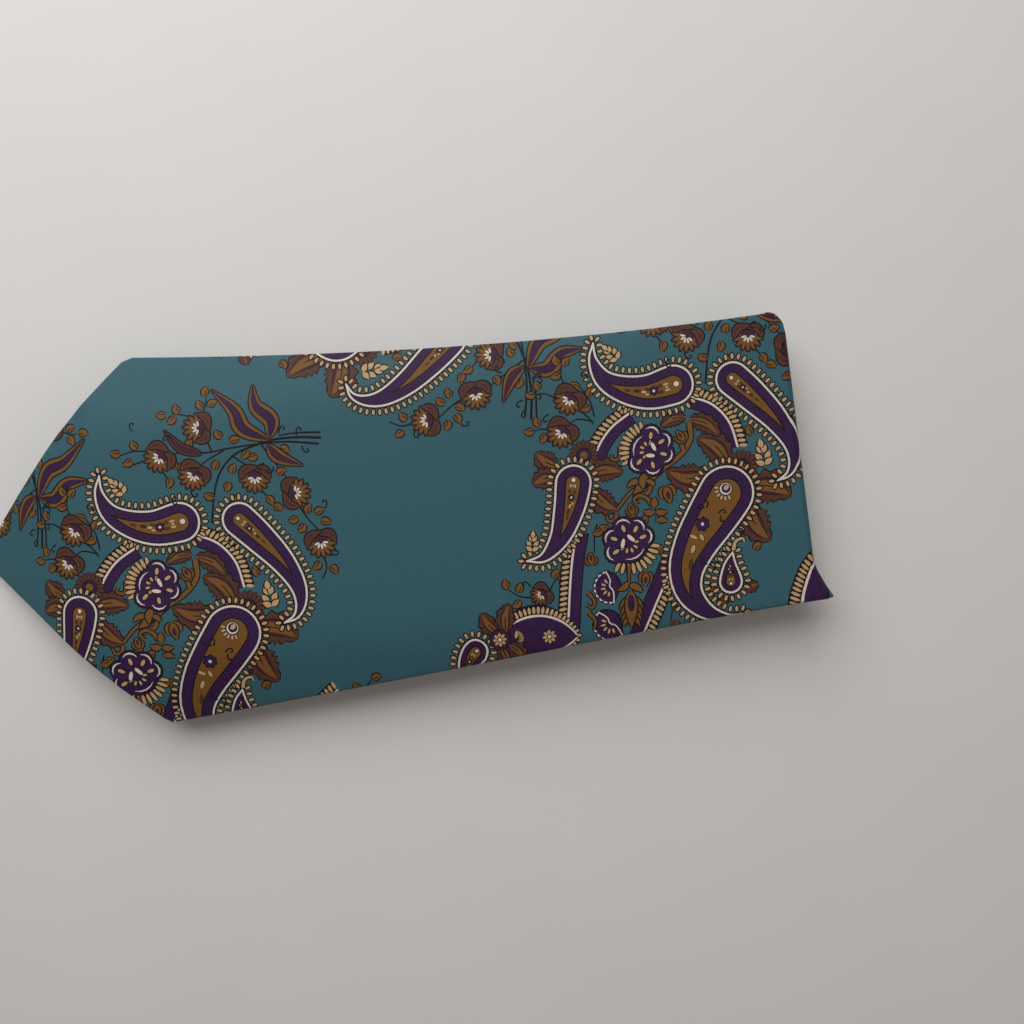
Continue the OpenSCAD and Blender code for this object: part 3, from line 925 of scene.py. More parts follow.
def cloth_lines(s0, s1, rolls, creases):
    """Fixed lines of the net: rolls run along the cloth on both sides, creases run across it."""
    out = []
    line = span(s0, s1, max(1, round((s1 - s0) / 2.5)))
    for c_of in rolls:
        out += [[(s, side * c_of(s)) for s in line] for side in (1, -1)]
    for s, half in creases:
        n = max(2, round(half / 2))
        out.append([(s, half * (2 * i / n - 1)) for i in range(n + 1)])
    return out


def cloth_grid(s0, s1, reach, step):
    out = []
    rows = int((s1 - s0) / step)
    for i in range(1, rows):
        s = s0 + (s1 - s0) * i / rows
        half = reach(s) - 0.3 * step
        n = int(half / step)
        for j in range(-n, n + 1):
            out.append((s, (j + (0.5 if i % 2 else 0.0)) * step))
    return out


def inside(points, outline):
    """Which points lie inside a closed outline, by how it winds round them."""
    a = np.array([(p[0], p[1]) for p in outline])
    b = np.roll(a, -1, axis=0)
    x, y = points[:, 0:1], points[:, 1:2]
    side = (b[:, 0] - a[:, 0]) * (y - a[:, 1]) - (x - a[:, 0]) * (b[:, 1] - a[:, 1])
    up = (a[:, 1] <= y) & (b[:, 1] > y) & (side > 0)
    down = (a[:, 1] > y) & (b[:, 1] <= y) & (side < 0)
    return up.sum(1) != down.sum(1)


def ink_of(middles, layers_of_ink):
    """The topmost ink at each point. An outline counts only on its own length of silk."""
    order = np.argsort(middles[:, 0])
    places = middles[order]
    inks = np.full(len(order), GROUND)
    for start, stop, ink, outline in layers_of_ink:
        xs, ys = [p[0] for p in outline], [p[1] for p in outline]
        lo, hi = np.searchsorted(places[:, 0], (max(start, min(xs)), min(stop, max(xs))))
        near = lo + np.nonzero((places[lo:hi, 1] > min(ys)) & (places[lo:hi, 1] < max(ys)))[0]
        if len(near):
            inks[near[inside(places[near], outline)]] = ink
    out = np.empty_like(inks)
    out[order] = inks
    return out


def cloth_net(s0, s1, reach, rolls, step, creases=()):
    """A flat triangle net of the cloth with the print cut into it: points, triangles and inks."""
    verts, edges = [], []

    def add_line(points, closed=False):
        first = len(verts)
        verts.extend(Vector(p) for p in points)
        edges.extend((first + i, first + i + 1) for i in range(len(points) - 1))
        if closed:
            edges.append((len(verts) - 1, first))

    outline = cloth_outline(s0, s1, reach)
    add_line(outline, closed=True)
    widest = max(reach(s) for s in span(s0, s1, 40))
    printed = []
    for start, stop, shift in cuts_between(s0, s1):
        for ink, shape in print_over(max(s0, start), min(s1, stop), widest, shift):
            add_line(shape, closed=True)
            printed.append((start, stop, ink, shape))
    for line in cloth_lines(s0, s1, rolls, creases):
        add_line(line)
    verts.extend(Vector(p) for p in cloth_grid(s0, s1, reach, step))
    pts, _, faces, _, _, _ = delaunay_2d_cdt(verts, edges, [], 0, 1e-5, False)
    flat = np.array([(p.x, p.y) for p in pts])
    tris = np.array([(f[0], a, b) for f in faces for a, b in zip(f[1:], f[2:])])
    middles = flat[tris].mean(axis=1)
    rim = np.array(outline[len(outline) // 2:][::-1])
    on_cloth = np.abs(middles[:, 1]) < np.interp(middles[:, 0], rim[:, 0], rim[:, 1])
    on_cloth &= (middles[:, 0] > s0) & (middles[:, 0] < s1)
    tris, middles = tris[on_cloth], middles[on_cloth]
    return flat, tris, ink_of(middles, printed)


def make_cloth(name, net, to_place, material):
    """The net laid in its place, with its inks and its flat coordinates kept on it."""
    flat, tris, inks = net
    used, faces = np.unique(tris, return_inverse=True)
    faces = faces.reshape(tris.shape)
    verts = [to_place(s, c) for s, c in flat[used].tolist()]
    obj = make_piece(name, verts, faces.tolist(), material)
    mesh = obj.data
    colours = np.array([linear(rgb, INK_GAIN) + (1.0,) for rgb in INKS])
    paint = mesh.attributes.new("print", "FLOAT_COLOR", "FACE")
    paint.data.foreach_set("color", colours[inks].ravel())
    kind = mesh.attributes.new("ink", "FLOAT", "FACE")
    kind.data.foreach_set("value", inks.astype(float))
    uv = mesh.uv_layers.new(name="cloth")
    uv.data.foreach_set("uv", flat[tris].ravel())
    return obj


# ---------------------------------------------------------------- materials
def node_material(name, roughness, **sockets):
    material = bpy.data.materials.new(name)
    material.use_nodes = True
    tree = material.node_tree
    shader = tree.nodes["Principled BSDF"]
    shader.inputs["Roughness"].default_value = roughness
    for key, value in sockets.items():
        shader.inputs[key.replace("_", " ")].default_value = value
    return material, tree, shader


def add_node(tree, kind, **settings):
    node = tree.nodes.new(kind)
    for key, value in settings.items():
        if key in node.inputs:
            node.inputs[key].default_value = value
        else:
            setattr(node, key, value)
    return node


def maths(tree, operation, a, b=0.0, c=0.0):
    node = tree.nodes.new("ShaderNodeMath")
    node.operation = operation
    for socket, value in zip(node.inputs, (a, b, c)):
        if isinstance(value, (int, float)):
            socket.default_value = value
        else:
            tree.links.new(value, socket)
    return node.outputs[0]


def mix_colours(tree, blend_type, factor, a, b):
    node = tree.nodes.new("ShaderNodeMix")
    node.data_type = "RGBA"
    node.blend_type = blend_type
    for socket, value in ((node.inputs[0], factor), (node.inputs[6], a), (node.inputs[7], b)):
        if hasattr(value, "is_output"):
            tree.links.new(value, socket)
        else:
            socket.default_value = value
    return node.outputs[2]


def bump_from(tree, shader, height, distance, strength=1.0):
    bump = add_node(tree, "ShaderNodeBump", Strength=strength, Distance=distance)
    tree.links.new(height, bump.inputs["Height"])
    tree.links.new(bump.outputs["Normal"], shader.inputs["Normal"])


def ribs(tree, coords, pitch, turn):
    """Fine parallel ribs, from 0 to 1, at a pitch in the units of the coordinates."""
    mapping = add_node(tree, "ShaderNodeMapping")
    mapping.inputs["Rotation"].default_value = (0, 0, turn)
    tree.links.new(coords, mapping.inputs["Vector"])
    wave = add_node(tree, "ShaderNodeTexWave", Scale=math.tau / 20 / pitch, Distortion=0.4)
    wave.inputs["Detail Scale"].default_value = 1.5
    tree.links.new(mapping.outputs["Vector"], wave.inputs["Vector"])
    return wave.outputs["Fac"]


def silk_material():
    """Twill silk: the print from the mesh, fine ribs, ink that soaks in unevenly, soft sheen."""
    material, tree, shader = node_material(
        "printed_silk", 0.55, Sheen_Weight=0.06, Sheen_Roughness=0.4, Specular_IOR_Level=0.22)
    shader.inputs["Sheen Tint"].default_value = (0.75, 0.85, 0.88, 1)
    paint = add_node(tree, "ShaderNodeAttribute", attribute_name="print")
    kind = add_node(tree, "ShaderNodeAttribute", attribute_name="ink")
    uv = add_node(tree, "ShaderNodeUVMap", uv_map="cloth")
    cloth = uv.outputs["UV"]
    twill = ribs(tree, cloth, 0.5, 0.18)
    soak = add_node(tree, "ShaderNodeTexNoise", Scale=0.9, Detail=6.0, Roughness=0.7)
    tree.links.new(cloth, soak.inputs["Vector"])
    tone = maths(tree, "MULTIPLY_ADD", soak.outputs["Fac"], 0.34, 0.8)
    shade = maths(tree, "MULTIPLY_ADD", twill, 0.1, 0.95)
    both = maths(tree, "MULTIPLY", tone, shade)
    dots = add_node(tree, "ShaderNodeTexVoronoi", Scale=1.25, Randomness=0.35)
    tree.links.new(cloth, dots.inputs["Vector"])
    is_dot = maths(tree, "LESS_THAN", dots.outputs["Distance"], 0.26)
    is_purple = maths(tree, "COMPARE", kind.outputs["Fac"], float(PURPLE), 0.5)
    dotted = maths(tree, "MULTIPLY", is_dot, is_purple)
    darker = maths(tree, "MULTIPLY_ADD", dotted, -0.6, 1.0)
    factor = maths(tree, "MULTIPLY", both, darker)
    grey = add_node(tree, "ShaderNodeCombineColor")
    for socket in grey.inputs:
        tree.links.new(factor, socket)
    colour = mix_colours(tree, "MULTIPLY", 1.0, paint.outputs["Color"], grey.outputs["Color"])
    tree.links.new(colour, shader.inputs["Base Color"])
    weave = maths(tree, "MULTIPLY", twill, 0.7)
    fuzz = maths(tree, "MULTIPLY", soak.outputs["Fac"], 0.3)
    bump_from(tree, shader, maths(tree, "ADD", weave, fuzz), 0.00004)
    return material


def woven_material(name, rgb, pitch, turn, roughness, tone=0.25, bump=0.00006, **sockets):
    """Plain woven or felted stuff: a mottled colour and fine ribs in object space."""
    material, tree, shader = node_material(name, roughness, **sockets)
    coords = add_node(tree, "ShaderNodeTexCoord").outputs["Object"]
    noise = add_node(tree, "ShaderNodeTexNoise", Scale=1400.0, Detail=5.0, Roughness=0.65)
    tree.links.new(coords, noise.inputs["Vector"])
    rib = ribs(tree, coords, pitch * MM, turn)
    low = linear(rgb, 1 - tone) + (1,)
    high = linear(rgb, 1 + tone) + (1,)
    colour = mix_colours(tree, "MIX", noise.outputs["Fac"], low, high)
    tree.links.new(colour, shader.inputs["Base Color"])
    height = maths(tree, "ADD", rib, maths(tree, "MULTIPLY", noise.outputs["Fac"], 0.8))
    bump_from(tree, shader, height, bump)
    return material


SILK = silk_material()
WOOL = woven_material("wool_interlining", (214, 206, 188), 0.9, 0.0, 0.95, 0.12, 0.00015,
                      Sheen_Weight=0.3)
THREAD = woven_material("silk_thread", (52, 84, 94), 0.35, 0.6, 0.45, 0.2, 0.00004,
                        Sheen_Weight=0.3)
LINING = woven_material("tipping_lining", (34, 36, 62), 0.35, 0.8, 0.35, 0.2, 0.00003,
                        Sheen_Weight=0.2)
LABEL = woven_material("woven_label", (28, 34, 58), 0.28, 0.0, 0.5, 0.3, 0.00006)
LABEL_EDGE = woven_material("woven_label_border", (150, 132, 98), 0.28, 1.57, 0.5, 0.2, 0.00006)
SATIN = woven_material("satin_label", (226, 224, 216), 0.2, 1.57, 0.3, 0.06, 0.00002,
                       Sheen_Weight=0.15)
JOIN_SILK = woven_material("silk_seam_allowance", INKS[GROUND], 0.5, 0.785, 0.55, 0.15, 0.00004,
                           Sheen_Weight=0.2)


# ---------------------------------------------------------------- the silk, layer by layer
LIP_R = 0.09
LIP = 2.0                                 # how far the silk's edge is turned in on the back
LIP_SHARE = 0.3                           # and its largest share of the width
ROLL_STEPS = 6
END_TRIM = 0.6                            # the cloth stops this far from the sharp points


def lipped(w, edge, c):
    """Where the cloth at c lies in a section of half width w, with its edge turned in."""
    over = abs(c) - edge
    y, d = wrap(w, min(abs(c), edge))
    if over > 0:
        bend = min(over / LIP_R, math.pi)
        y += max(0.0, over - math.pi * LIP_R) - LIP_R * math.sin(bend)
        d += LIP_R * (1 - math.cos(bend))
    return math.copysign(y, c), d


def lip_width(k, s):
    return min(LIP, LIP_SHARE * half_width(k, s))


def cloth_reach(k):
    return lambda s: cloth_half(k, s) + lip_width(k, s)


def roll_lines(k):
    """The lines that follow the rolled edges and the turned-in lips of a layer."""
    def line(share):
        def at(s):
            w = half_width(k, s)
            r = edge_radius(w)
            return w - r + math.pi * r * share
        return at

    def lip(share):
        return lambda s: cloth_half(k, s) + min(math.pi * LIP_R, 0.9 * lip_width(k, s)) * share
    return [line(j / ROLL_STEPS) for j in range(ROLL_STEPS + 1)] + [lip(j / 2) for j in range(3)]


FOLD_SHAPE_REACH = 16
CORNER_FROM = 29.5
CORNER_R = 6
FLARE = 3.6
FLARE_FROM, FLARE_RUN = 25, 9


def corner_shift(y, from_fold):
    """How far the cloth near fold 1 strays from a straight fold: one corner round, one sharp."""
    near = max(0.0, 1 - from_fold / FOLD_SHAPE_REACH) ** 2
    if y > CORNER_FROM:
        return near * (math.sqrt(CORNER_R ** 2 - min(CORNER_R, y - CORNER_FROM) ** 2) - CORNER_R)
    if y < -FLARE_FROM:
        return near * FLARE * ((-y - FLARE_FROM) / FLARE_RUN) ** 1.5
    return 0.0


def place_layer(k):
    def at(s, c):
        x, y, z = layer_point(k, s, *lipped(half_width(k, s), cloth_half(k, s), c))
        if k == 1:
            x += corner_shift(y, LAYER_END[0] - s)
        if k == 2:
            x += corner_shift(y, s - LAYER_START[1])
        return x, y, z
    return at


def place_turn(k, edge):
    def at(s, c):
        x, y, z = turn_point(k, s, *lipped(FOLD_HALF[k - 1], edge, c))
        return (x + corner_shift(y, 0) if k == 1 else x), y, z
    return at


def attach(obj, k, slot_name, *nodes):
    """A piece that rides on layer k, and stands for the CAD nodes that are named, if any."""
    if nodes:
        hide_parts(*nodes)
    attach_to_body(obj, f"layer_{k}")
    return obj


def make_layer(k):
    s0 = LAYER_START[k - 1] if k > 1 else END_TRIM
    s1 = LAYER_END[k - 1] if k < LAYERS else TIE_LEN - END_TRIM
    net = cloth_net(s0, s1, cloth_reach(k), roll_lines(k), 2.6 if k == 1 else 5.0)
    obj = make_cloth(f"silk_{k}", net, place_layer(k), SILK)
    return attach(obj, k, "printed_silk", f"silk_shell_{k}")


def make_turn(k):
    s0, s1 = LAYER_END[k - 1], LAYER_START[k]
    flat = FOLD_HALF[k - 1] - EDGE_R
    edge = 2 * flat + math.pi * EDGE_R - SEAM_HALF
    lines = [flat + math.pi * EDGE_R * j / ROLL_STEPS for j in range(ROLL_STEPS + 1)]
    lines += [edge + math.pi * LIP_R * j / 2 for j in range(3)]
    creases = [(s, edge + LIP) for s in span(s0, s1, 14)[1:-1]]
    net = cloth_net(s0, s1, lambda s: edge + LIP, [lambda s, v=v: v for v in lines], 2.5, creases)
    obj = make_cloth(f"silk_turn_{k}", net, place_turn(k, edge), SILK)
    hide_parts(f"silk_fold_{k}")
    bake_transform(obj)
    return obj


# ---------------------------------------------------------------- trim
def tube(points, radius, sides=6):
    """A closed thread along points in millimetres."""
    pts = [Vector(p) for p in points]
    verts, faces = [], []
    up = Vector((0, 0, 1))
    for i, p in enumerate(pts):
        d = (pts[min(i + 1, len(pts) - 1)] - pts[max(i - 1, 0)]).normalized()
        a = d.cross(up if abs(d.z) < 0.9 else Vector((1, 0, 0))).normalized()
        b = a.cross(d)
        for j in range(sides):
            t = math.tau * j / sides
            verts.append(tuple(p + (a * math.cos(t) + b * math.sin(t)) * radius))
    for i in range(len(pts) - 1):
        for j in range(sides):
            k = (j + 1) % sides
            faces.append((i * sides + j, i * sides + k, (i + 1) * sides + k, (i + 1) * sides + j))
    faces.append(tuple(range(sides)))
    faces.append(tuple((len(pts) - 1) * sides + j for j in reversed(range(sides))))
    return verts, faces


def trim_piece(name, parts, material, k, slot_name, *nodes):
    """One piece on layer k, of one or more closed parts."""
    verts, faces = [], []
    for v, f in parts:
        faces += [tuple(i + len(verts) for i in face) for face in f]
        verts += v
    return attach(make_piece(name, verts, faces, material), k, slot_name, *nodes)


SOFT_REACH = 0.4                          # how far in from its edge a label or band is rounded


def slab(stations, half, d_low, d_high, to_place, across=24, soft=0.0):
    """A closed thin sheet that follows a layer: its two faces and the edge all round."""
    verts, faces = [], []
    n = across + 1
    for d in (d_high, d_low):
        for s in stations:
            for j in range(n):
                t = 2 * j / across - 1
                lift = soft * math.exp(-((1 - abs(t)) * half(s) / SOFT_REACH) ** 2)
                y = t * half(s)
                verts.append(to_place(s, y, d + (lift if d == d_low else -lift)))
    rows = len(stations)
    low = rows * n
    for i in range(rows - 1):
        for j in range(across):
            a, b = i * n + j, (i + 1) * n + j
            faces.append((a, b, b + 1, a + 1))
            faces.append((low + a, low + a + 1, low + b + 1, low + b))
    for i in range(rows - 1):
        for j in (0, across):
            a, b = i * n + j, (i + 1) * n + j
            quad = (a, low + a, low + b, b)
            faces.append(quad if j == 0 else quad[::-1])
    for i in (0, rows - 1):
        for j in range(across):
            a = i * n + j
            quad = (a, a + 1, low + a + 1, low + a)
            faces.append(quad if i == 0 else quad[::-1])
    return verts, faces


def on_layer(k, out=1):
    """Places in layer k, at a height above its back face, or with out=-1 beyond that face."""
    return lambda s, y, d: layer_point(k, s, y, out * d)


WOOL_LOW, WOOL_HIGH = 0.38, 0.94
LINING_LOW, LINING_HIGH = 0.24, 0.31


def blade_wool():
    def half(s):
        return max(0.4, half_width(1, s) - 0.9)

    part = slab(span(2, BLADE_LEN - 0.3, 80), half, WOOL_LOW, WOOL_HIGH, on_layer(1), 28)
    return trim_piece("wool_1", [part], WOOL, 1, "wool_interlining", "interlining_1")


def blade_lining():
    def half(s):
        return min(half_width(1, s) - 2.2, vent_half(1, s) + 7)

    part = slab(span(6, BLADE_VENT + 5, 40), half, LINING_LOW, LINING_HIGH, on_layer(1), 28)
    return trim_piece("blade_lining", [part], LINING, 1, "tipping_lining", "blade_tipping")


STITCH = 2.4
STITCH_GAP = 6.5
STITCH_CLEAR = 2.5                        # from a vent's end to the first stitch
THREAD_R = 0.085
SLIP_ROUTE = [(0.0, -0.45, 0.12), (0.12, -0.42, 0.0), (0.35, -0.3, -0.05), (0.65, 0.3, -0.05),
              (0.88, 0.42, 0.0), (1.0, 0.45, 0.12)]


def seam_stitches(k):
    """Slip stitches that draw the two silk edges together along the middle of the back."""
    a = BLADE_VENT + STITCH_CLEAR if k == 1 else LAYER_START[k - 1] + 1.5
    b = TIE_LEN - TAIL_VENT - STITCH_CLEAR if k == LAYERS else LAYER_END[k - 1] - 1.5
    count = int((b - a - STITCH) / STITCH_GAP)
    parts = [tube([layer_point(k, s + STITCH * t, y, d) for t, y, d in SLIP_ROUTE], THREAD_R)
             for s in (a + (b - a - STITCH) * i / count for i in range(count + 1))]
    return trim_piece(f"seam_stitches_{k}", parts, THREAD, k, "silk_thread", f"slip_stitch_{k}")


TACK_HALF = 3.0
TACK_TURNS = 22
TACK_ARCH = [(-0.52, 0.1), (-0.42, -0.05), (-0.15, -0.13), (0.15, -0.13), (0.42, -0.05), (0.52, 0.1)]


def bar_tack(name, k, s, node):
    """A dense bar of thread across the end of a vent, over two long core stitches."""
    parts = []
    for side in (-0.22, 0.22):
        core = [layer_point(k, s + side, y, 0.04) for y in span(-TACK_HALF, TACK_HALF, 8)]
        parts.append(tube(core, 0.1))
    for i in range(TACK_TURNS):
        y = -TACK_HALF + 0.2 + (2 * TACK_HALF - 0.4) * i / (TACK_TURNS - 1)
        parts.append(tube([layer_point(k, s + u, y + 0.05 * u, d) for u, d in TACK_ARCH], 0.115))
    return trim_piece(name, parts, THREAD, k, "silk_thread", node)


KEEPER_FOOT = 5
KEEPER_SOLE = 0.22                        # thickness of a foot of the keeper band
BOX_STITCH = 1.7


def box_stitches(corners, place):
    """Short stitches round a closed box. place(s, y, d) gives the points."""
    parts = []
    for (s_a, y_a), (s_b, y_b) in zip(corners, corners[1:] + corners[:1]):
        count = max(2, round(math.hypot(s_b - s_a, y_b - y_a) / BOX_STITCH))
        for i in range(count):
            t0, t1 = (i + 0.12) / count, (i + 0.88) / count
            route = [(t0, 0.12), (lerp(t0, t1, 0.2), 0.23), (lerp(t0, t1, 0.8), 0.23), (t1, 0.12)]
            parts.append(tube([place(lerp(s_a, s_b, t), lerp(y_a, y_b, t), d) for t, d in route], THREAD_R))
    return parts


def keeper_band():
    """The silk band across the back that holds the tail, with a stitched foot at each end."""
    lo, hi = box_mm("keeper_loop")
    mid_s = LAYER_START[1] + X_RIGHT - (lo.x + hi.x) / 2
    half_len, width = (hi.y - lo.y) / 2, hi.x - lo.x
    rise = hi.z - lo.z - KEEPER_SOLE

    def at(s, y, d):
        t = min(1.0, max(0.0, (half_len - KEEPER_FOOT - abs(y)) / 4))
        return layer_point(2, mid_s + s, y, -rise * t * t * (3 - 2 * t) - d)

    def half(s):
        return half_len - (0.15 if abs(s) > width / 2 - 0.3 else 0)

    from_edge = (0, 0.12, 0.5, 1.2, 3, 6, 9, width - 1.2, width - 0.5, width - 0.12, width)
    part = slab([-width / 2 + v for v in from_edge], half, 0.02, 0.2, at, 52, 0.05)
    band = trim_piece("keeper_band", [part], SILK, 2, "printed_silk", "keeper_loop")
    paint_plain(band, part[0])
    reach, outer, inner = width / 2 - 1, half_len - 1, half_len - KEEPER_FOOT + 0.6
    box = [(-reach, outer), (reach, outer), (reach, inner), (-reach, inner)]
    parts = []
    for side in (-1, 1):
        parts += box_stitches(box, lambda s, y, d, side=side: at(s, side * y, d))
    return [band, trim_piece("keeper_stitches", parts, THREAD, 2, "silk_thread")]


def paint_plain(obj, verts):
    """The printed silk's ground colour all over a piece, and coordinates for its ribs."""
    mesh = obj.data
    uv = mesh.uv_layers.new(name="cloth")
    uv.data.foreach_set("uv", [v for loop in mesh.loops for v in verts[loop.vertex_index][:2]])
    paint = mesh.attributes.new("print", "FLOAT_COLOR", "FACE")
    paint.data.foreach_set("color", list(linear(INKS[GROUND], INK_GAIN) + (1.0,)) * len(mesh.polygons))
    mesh.attributes.new("ink", "FLOAT", "FACE")


LABEL_STITCH_TOP = -0.22                  # label stitches pass this far beyond the layer's back


def label_stitches(name, k, s0, s1, half):
    """Stitches that hold a label at its corners."""
    parts = []
    for s_edge, s_in in ((s0, 1), (s1, -1)):
        for side in (-1, 1):
            for i in range(4):
                y = side * (half - 0.35 - 0.55 * i)
                a, b = s_edge - 0.5 * s_in, s_edge + 0.8 * s_in
                route = [(a, -0.02), (lerp(a, b, 0.3), LABEL_STITCH_TOP),
                         (lerp(a, b, 0.75), LABEL_STITCH_TOP), (b, LABEL_STITCH_TOP + 0.12)]
                parts.append(tube([layer_point(k, s, y, d) for s, d in route], THREAD_R))
    return trim_piece(name, parts, THREAD, k, "silk_thread")


def hemmed(a, b, near, far):
    """Stations along a label, closer together at its folded ends."""
    return [a, a + near, a + far] + span(a + 1, b - 1, 16) + [b - far, b - near, b]


def maker_label():
    """A plain woven label across the back of the blade, with a border and folded ends."""
    lo, hi = box_mm("maker_label")
    s0, s1, half = lo.x - TIP_X, hi.x - TIP_X, (hi.y - lo.y) / 2
    at = on_layer(1, -1)

    def edge(s):
        return half - (0.12 if s < s0 + 0.1 or s > s1 - 0.1 else 0)

    part = slab(hemmed(s0, s1, 0.15, 0.5), edge, 0.02, 0.21, at, 40, 0.06)
    label = trim_piece("woven_label", [part], LABEL, 1, "woven_label", "maker_label")
    parts = []
    for inset, r in ((2.4, 0.16), (3.3, 0.09)):
        a, b, h = s0 + inset, s1 - inset, half - inset
        ring = [(a, y) for y in span(-h, h, 30)] + [(s, h) for s in span(a, b, 14)][1:]
        ring += [(b, y) for y in span(h, -h, 30)][1:] + [(s, -h) for s in span(b, a, 14)][1:]
        parts.append(tube([at(s, y, 0.17) for s, y in ring], r))
    border = trim_piece("woven_label_border", parts, LABEL_EDGE, 1, "woven_label")
    return [label, border, label_stitches("maker_label_stitches", 1, s0, s1, half)]


def care_label():
    """A small folded satin tag on the back of the tail."""
    lo, hi = box_mm("care_label")
    a, b = LAYER_END[-1] - (hi.x - X_LEFT), LAYER_END[-1] - (lo.x - X_LEFT)
    half = (hi.y - lo.y) / 2
    stations = hemmed(a, b, 0.12, 0.4)
    at = on_layer(LAYERS, -1)
    under = slab(stations, lambda s: half - (0.1 if s < a + 0.1 or s > b - 0.1 else 0),
                 0.02, 0.1, at, 20, 0.03)
    over = slab([s + (0.25 if s < b - 1 else 0) for s in stations],
                lambda s: half - (0.35 if s < a + 0.5 else 0.22), 0.11, 0.2, at, 20, 0.03)
    tag = trim_piece("satin_tag", [under, over], SATIN, LAYERS, "satin_label", "care_label")
    return [tag, label_stitches("care_label_stitches", LAYERS, a, b, half)]


LOOP_TURNS = 56
LOOP_FROM, LOOP_SWEEP = 196, 330          # degrees


def thread_loop():
    """The spare loop of the slip stitch thread, with its two ends going back into the seam."""
    lo, hi = box_mm("reserve_thread_loop")
    cx, r = (lo.x + hi.x) / 2, (hi.y - lo.y) / 2 - 0.12
    z = LAYER_Z[-1] + LAYER_T + THREAD_R
    points = [(lo.x - 1.2, -0.1, z - 0.25), (lo.x - 0.3, -0.5, z - 0.02)]
    for i in range(LOOP_TURNS + 1):
        t = math.radians(LOOP_FROM + LOOP_SWEEP * i / LOOP_TURNS)
        wobble = r * (1 - 0.1 * math.sin(2 * t + 0.6) ** 2)
        points.append((cx + wobble * math.cos(t), wobble * math.sin(t), z + 0.09 * i / LOOP_TURNS))
    points += [(lo.x - 0.2, 0.4, z + 0.05), (lo.x - 1.2, 0.15, z - 0.25)]
    part = tube(spline(points, 3), THREAD_R, 8)
    return trim_piece("spare_thread_loop", [part], THREAD, LAYERS, "silk_thread", "reserve_thread_loop")


# ---------------------------------------------------------------- putting it together
AREA_STEPS = 400


def declare_sheet(k, layer, turn, trim):
    """The widest reach and the area of layer k's cloth are worked out here, and not used."""
    s0, s1 = LAYER_START[k - 1], LAYER_END[k - 1]
    reach = cloth_reach(k)
    widest = max(2 * reach(s) for s in span(s0, s1, 100)[1:-1])
    piece = (s1 - s0) / AREA_STEPS
    area = sum(2 * reach(s0 + (i + 0.5) * piece) for i in range(AREA_STEPS)) * piece


def paint_cad_nodes():
    """The CAD pieces that stay in view get their own materials."""
    finish = {f"interlining_{k}": WOOL for k in range(2, LAYERS + 1)}
    finish.update(blade_join_seam=JOIN_SILK, tail_join_seam=JOIN_SILK, tail_tipping=LINING)
    for name, material in finish.items():
        obj = bpy.data.objects[name]
        obj.data.materials.clear()
        obj.data.materials.append(material)


layers = {k: make_layer(k) for k in range(1, LAYERS + 1)}
turns = {k: make_turn(k) for k in range(1, LAYERS)}
wool = blade_wool()
lining = blade_lining()
stitches = {k: seam_stitches(k) for k in range(1, LAYERS + 1)}
blade_tack = bar_tack("blade_tack", 1, BLADE_VENT, "blade_bar_tack")
tail_tack = bar_tack("tail_tack", LAYERS, TIE_LEN - TAIL_VENT, "tail_bar_tack")
keeper = keeper_band()
maker = maker_label()
care = care_label()
loop = thread_loop()
paint_cad_nodes()

for piece in [layers[1], wool, lining, stitches[1], blade_tack] + maker:
    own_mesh(piece)

trim = {k: [stitches[k]] for k in range(1, LAYERS + 1)}
trim[1] += [lining, blade_tack] + maker
trim[2] += keeper
trim[LAYERS] += [tail_tack, loop] + care
for k in range(1, LAYERS + 1):
    declare_sheet(k, layers[k], turns.get(k), trim[k])


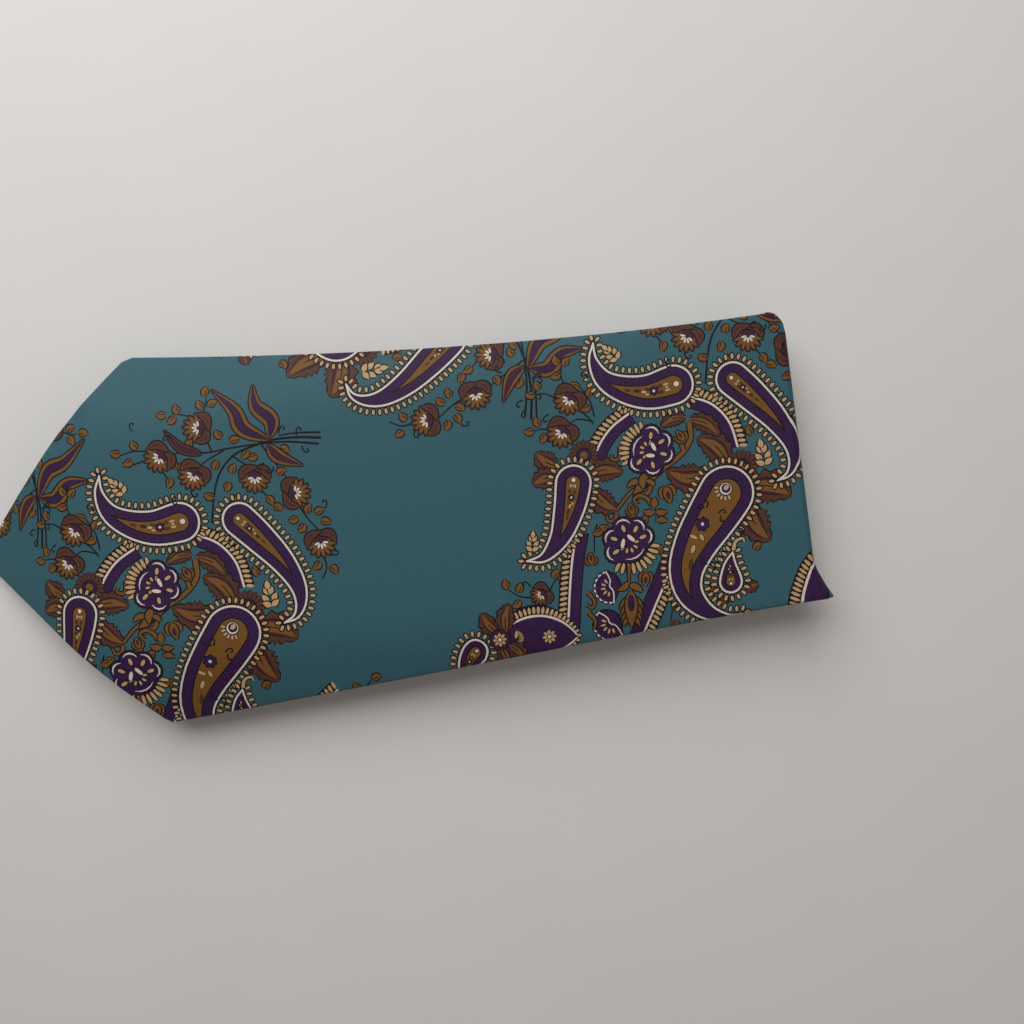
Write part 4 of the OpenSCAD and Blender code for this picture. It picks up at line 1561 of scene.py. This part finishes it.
# ---------------------------------------------------------------- table, light and camera
def make_floor():
    material, tree, shader = node_material("pale_floor", 0.7, Specular_IOR_Level=0.3)
    coords = add_node(tree, "ShaderNodeTexCoord").outputs["Object"]
    grain = add_node(tree, "ShaderNodeTexNoise", Scale=30.0, Detail=4.0)
    tree.links.new(coords, grain.inputs["Vector"])
    colour = mix_colours(tree, "MIX", grain.outputs["Fac"], (0.83, 0.82, 0.80, 1), (0.87, 0.86, 0.84, 1))
    tree.links.new(colour, shader.inputs["Base Color"])
    size, under = 5000.0, -0.1
    corners = [(-size, -size, under), (size, -size, under), (size, size, under), (-size, size, under)]
    make_piece("floor", corners, [(0, 1, 2, 3)], material)


def area_light(name, place, target, size, power, colour=(1, 1, 1)):
    data = bpy.data.lights.new(name, "AREA")
    data.shape = "DISK"
    data.size = size
    data.energy = power
    data.color = colour
    obj = bpy.data.objects.new(name, data)
    obj.location = place
    obj.rotation_euler = (Vector(target) - Vector(place)).to_track_quat("-Z", "Y").to_euler()
    obj.visible_camera = False
    bpy.context.scene.collection.objects.link(obj)


def make_light():
    world = bpy.data.worlds.new("soft_room")
    world.use_nodes = True
    back = world.node_tree.nodes["Background"]
    back.inputs["Color"].default_value = (1.0, 0.95, 0.9, 1)
    back.inputs["Strength"].default_value = 0.13
    bpy.context.scene.world = world
    area_light("window", (-0.1, 0.42, 0.42), (0.0, 0.0, 0.0), 0.7, 3.35, (1.0, 1.0, 0.995))
    area_light("fill", (0.35, -0.35, 0.5), (0.0, 0.0, 0.0), 0.8, 0.4, (1.0, 0.82, 0.72))


EYE_FROM_POINT = 132                      # the eye's place, in millimetres
EYE_ACROSS = -5
EYE_HEIGHT = 255
EYE_TURN = -7.1
LENS = 36


def make_camera():
    data = bpy.data.cameras.new("camera")
    data.lens = LENS
    data.sensor_width = LENS
    data.clip_start = 0.01
    camera = bpy.data.objects.new("camera", data)
    camera.location = ((TIP_X + EYE_FROM_POINT) * MM, EYE_ACROSS * MM, EYE_HEIGHT * MM)
    camera.rotation_euler = (0, 0, math.radians(EYE_TURN))
    bpy.context.scene.collection.objects.link(camera)
    bpy.context.scene.camera = camera


make_floor()
make_light()
make_camera()
bpy.context.scene.view_settings.view_transform = "Standard"
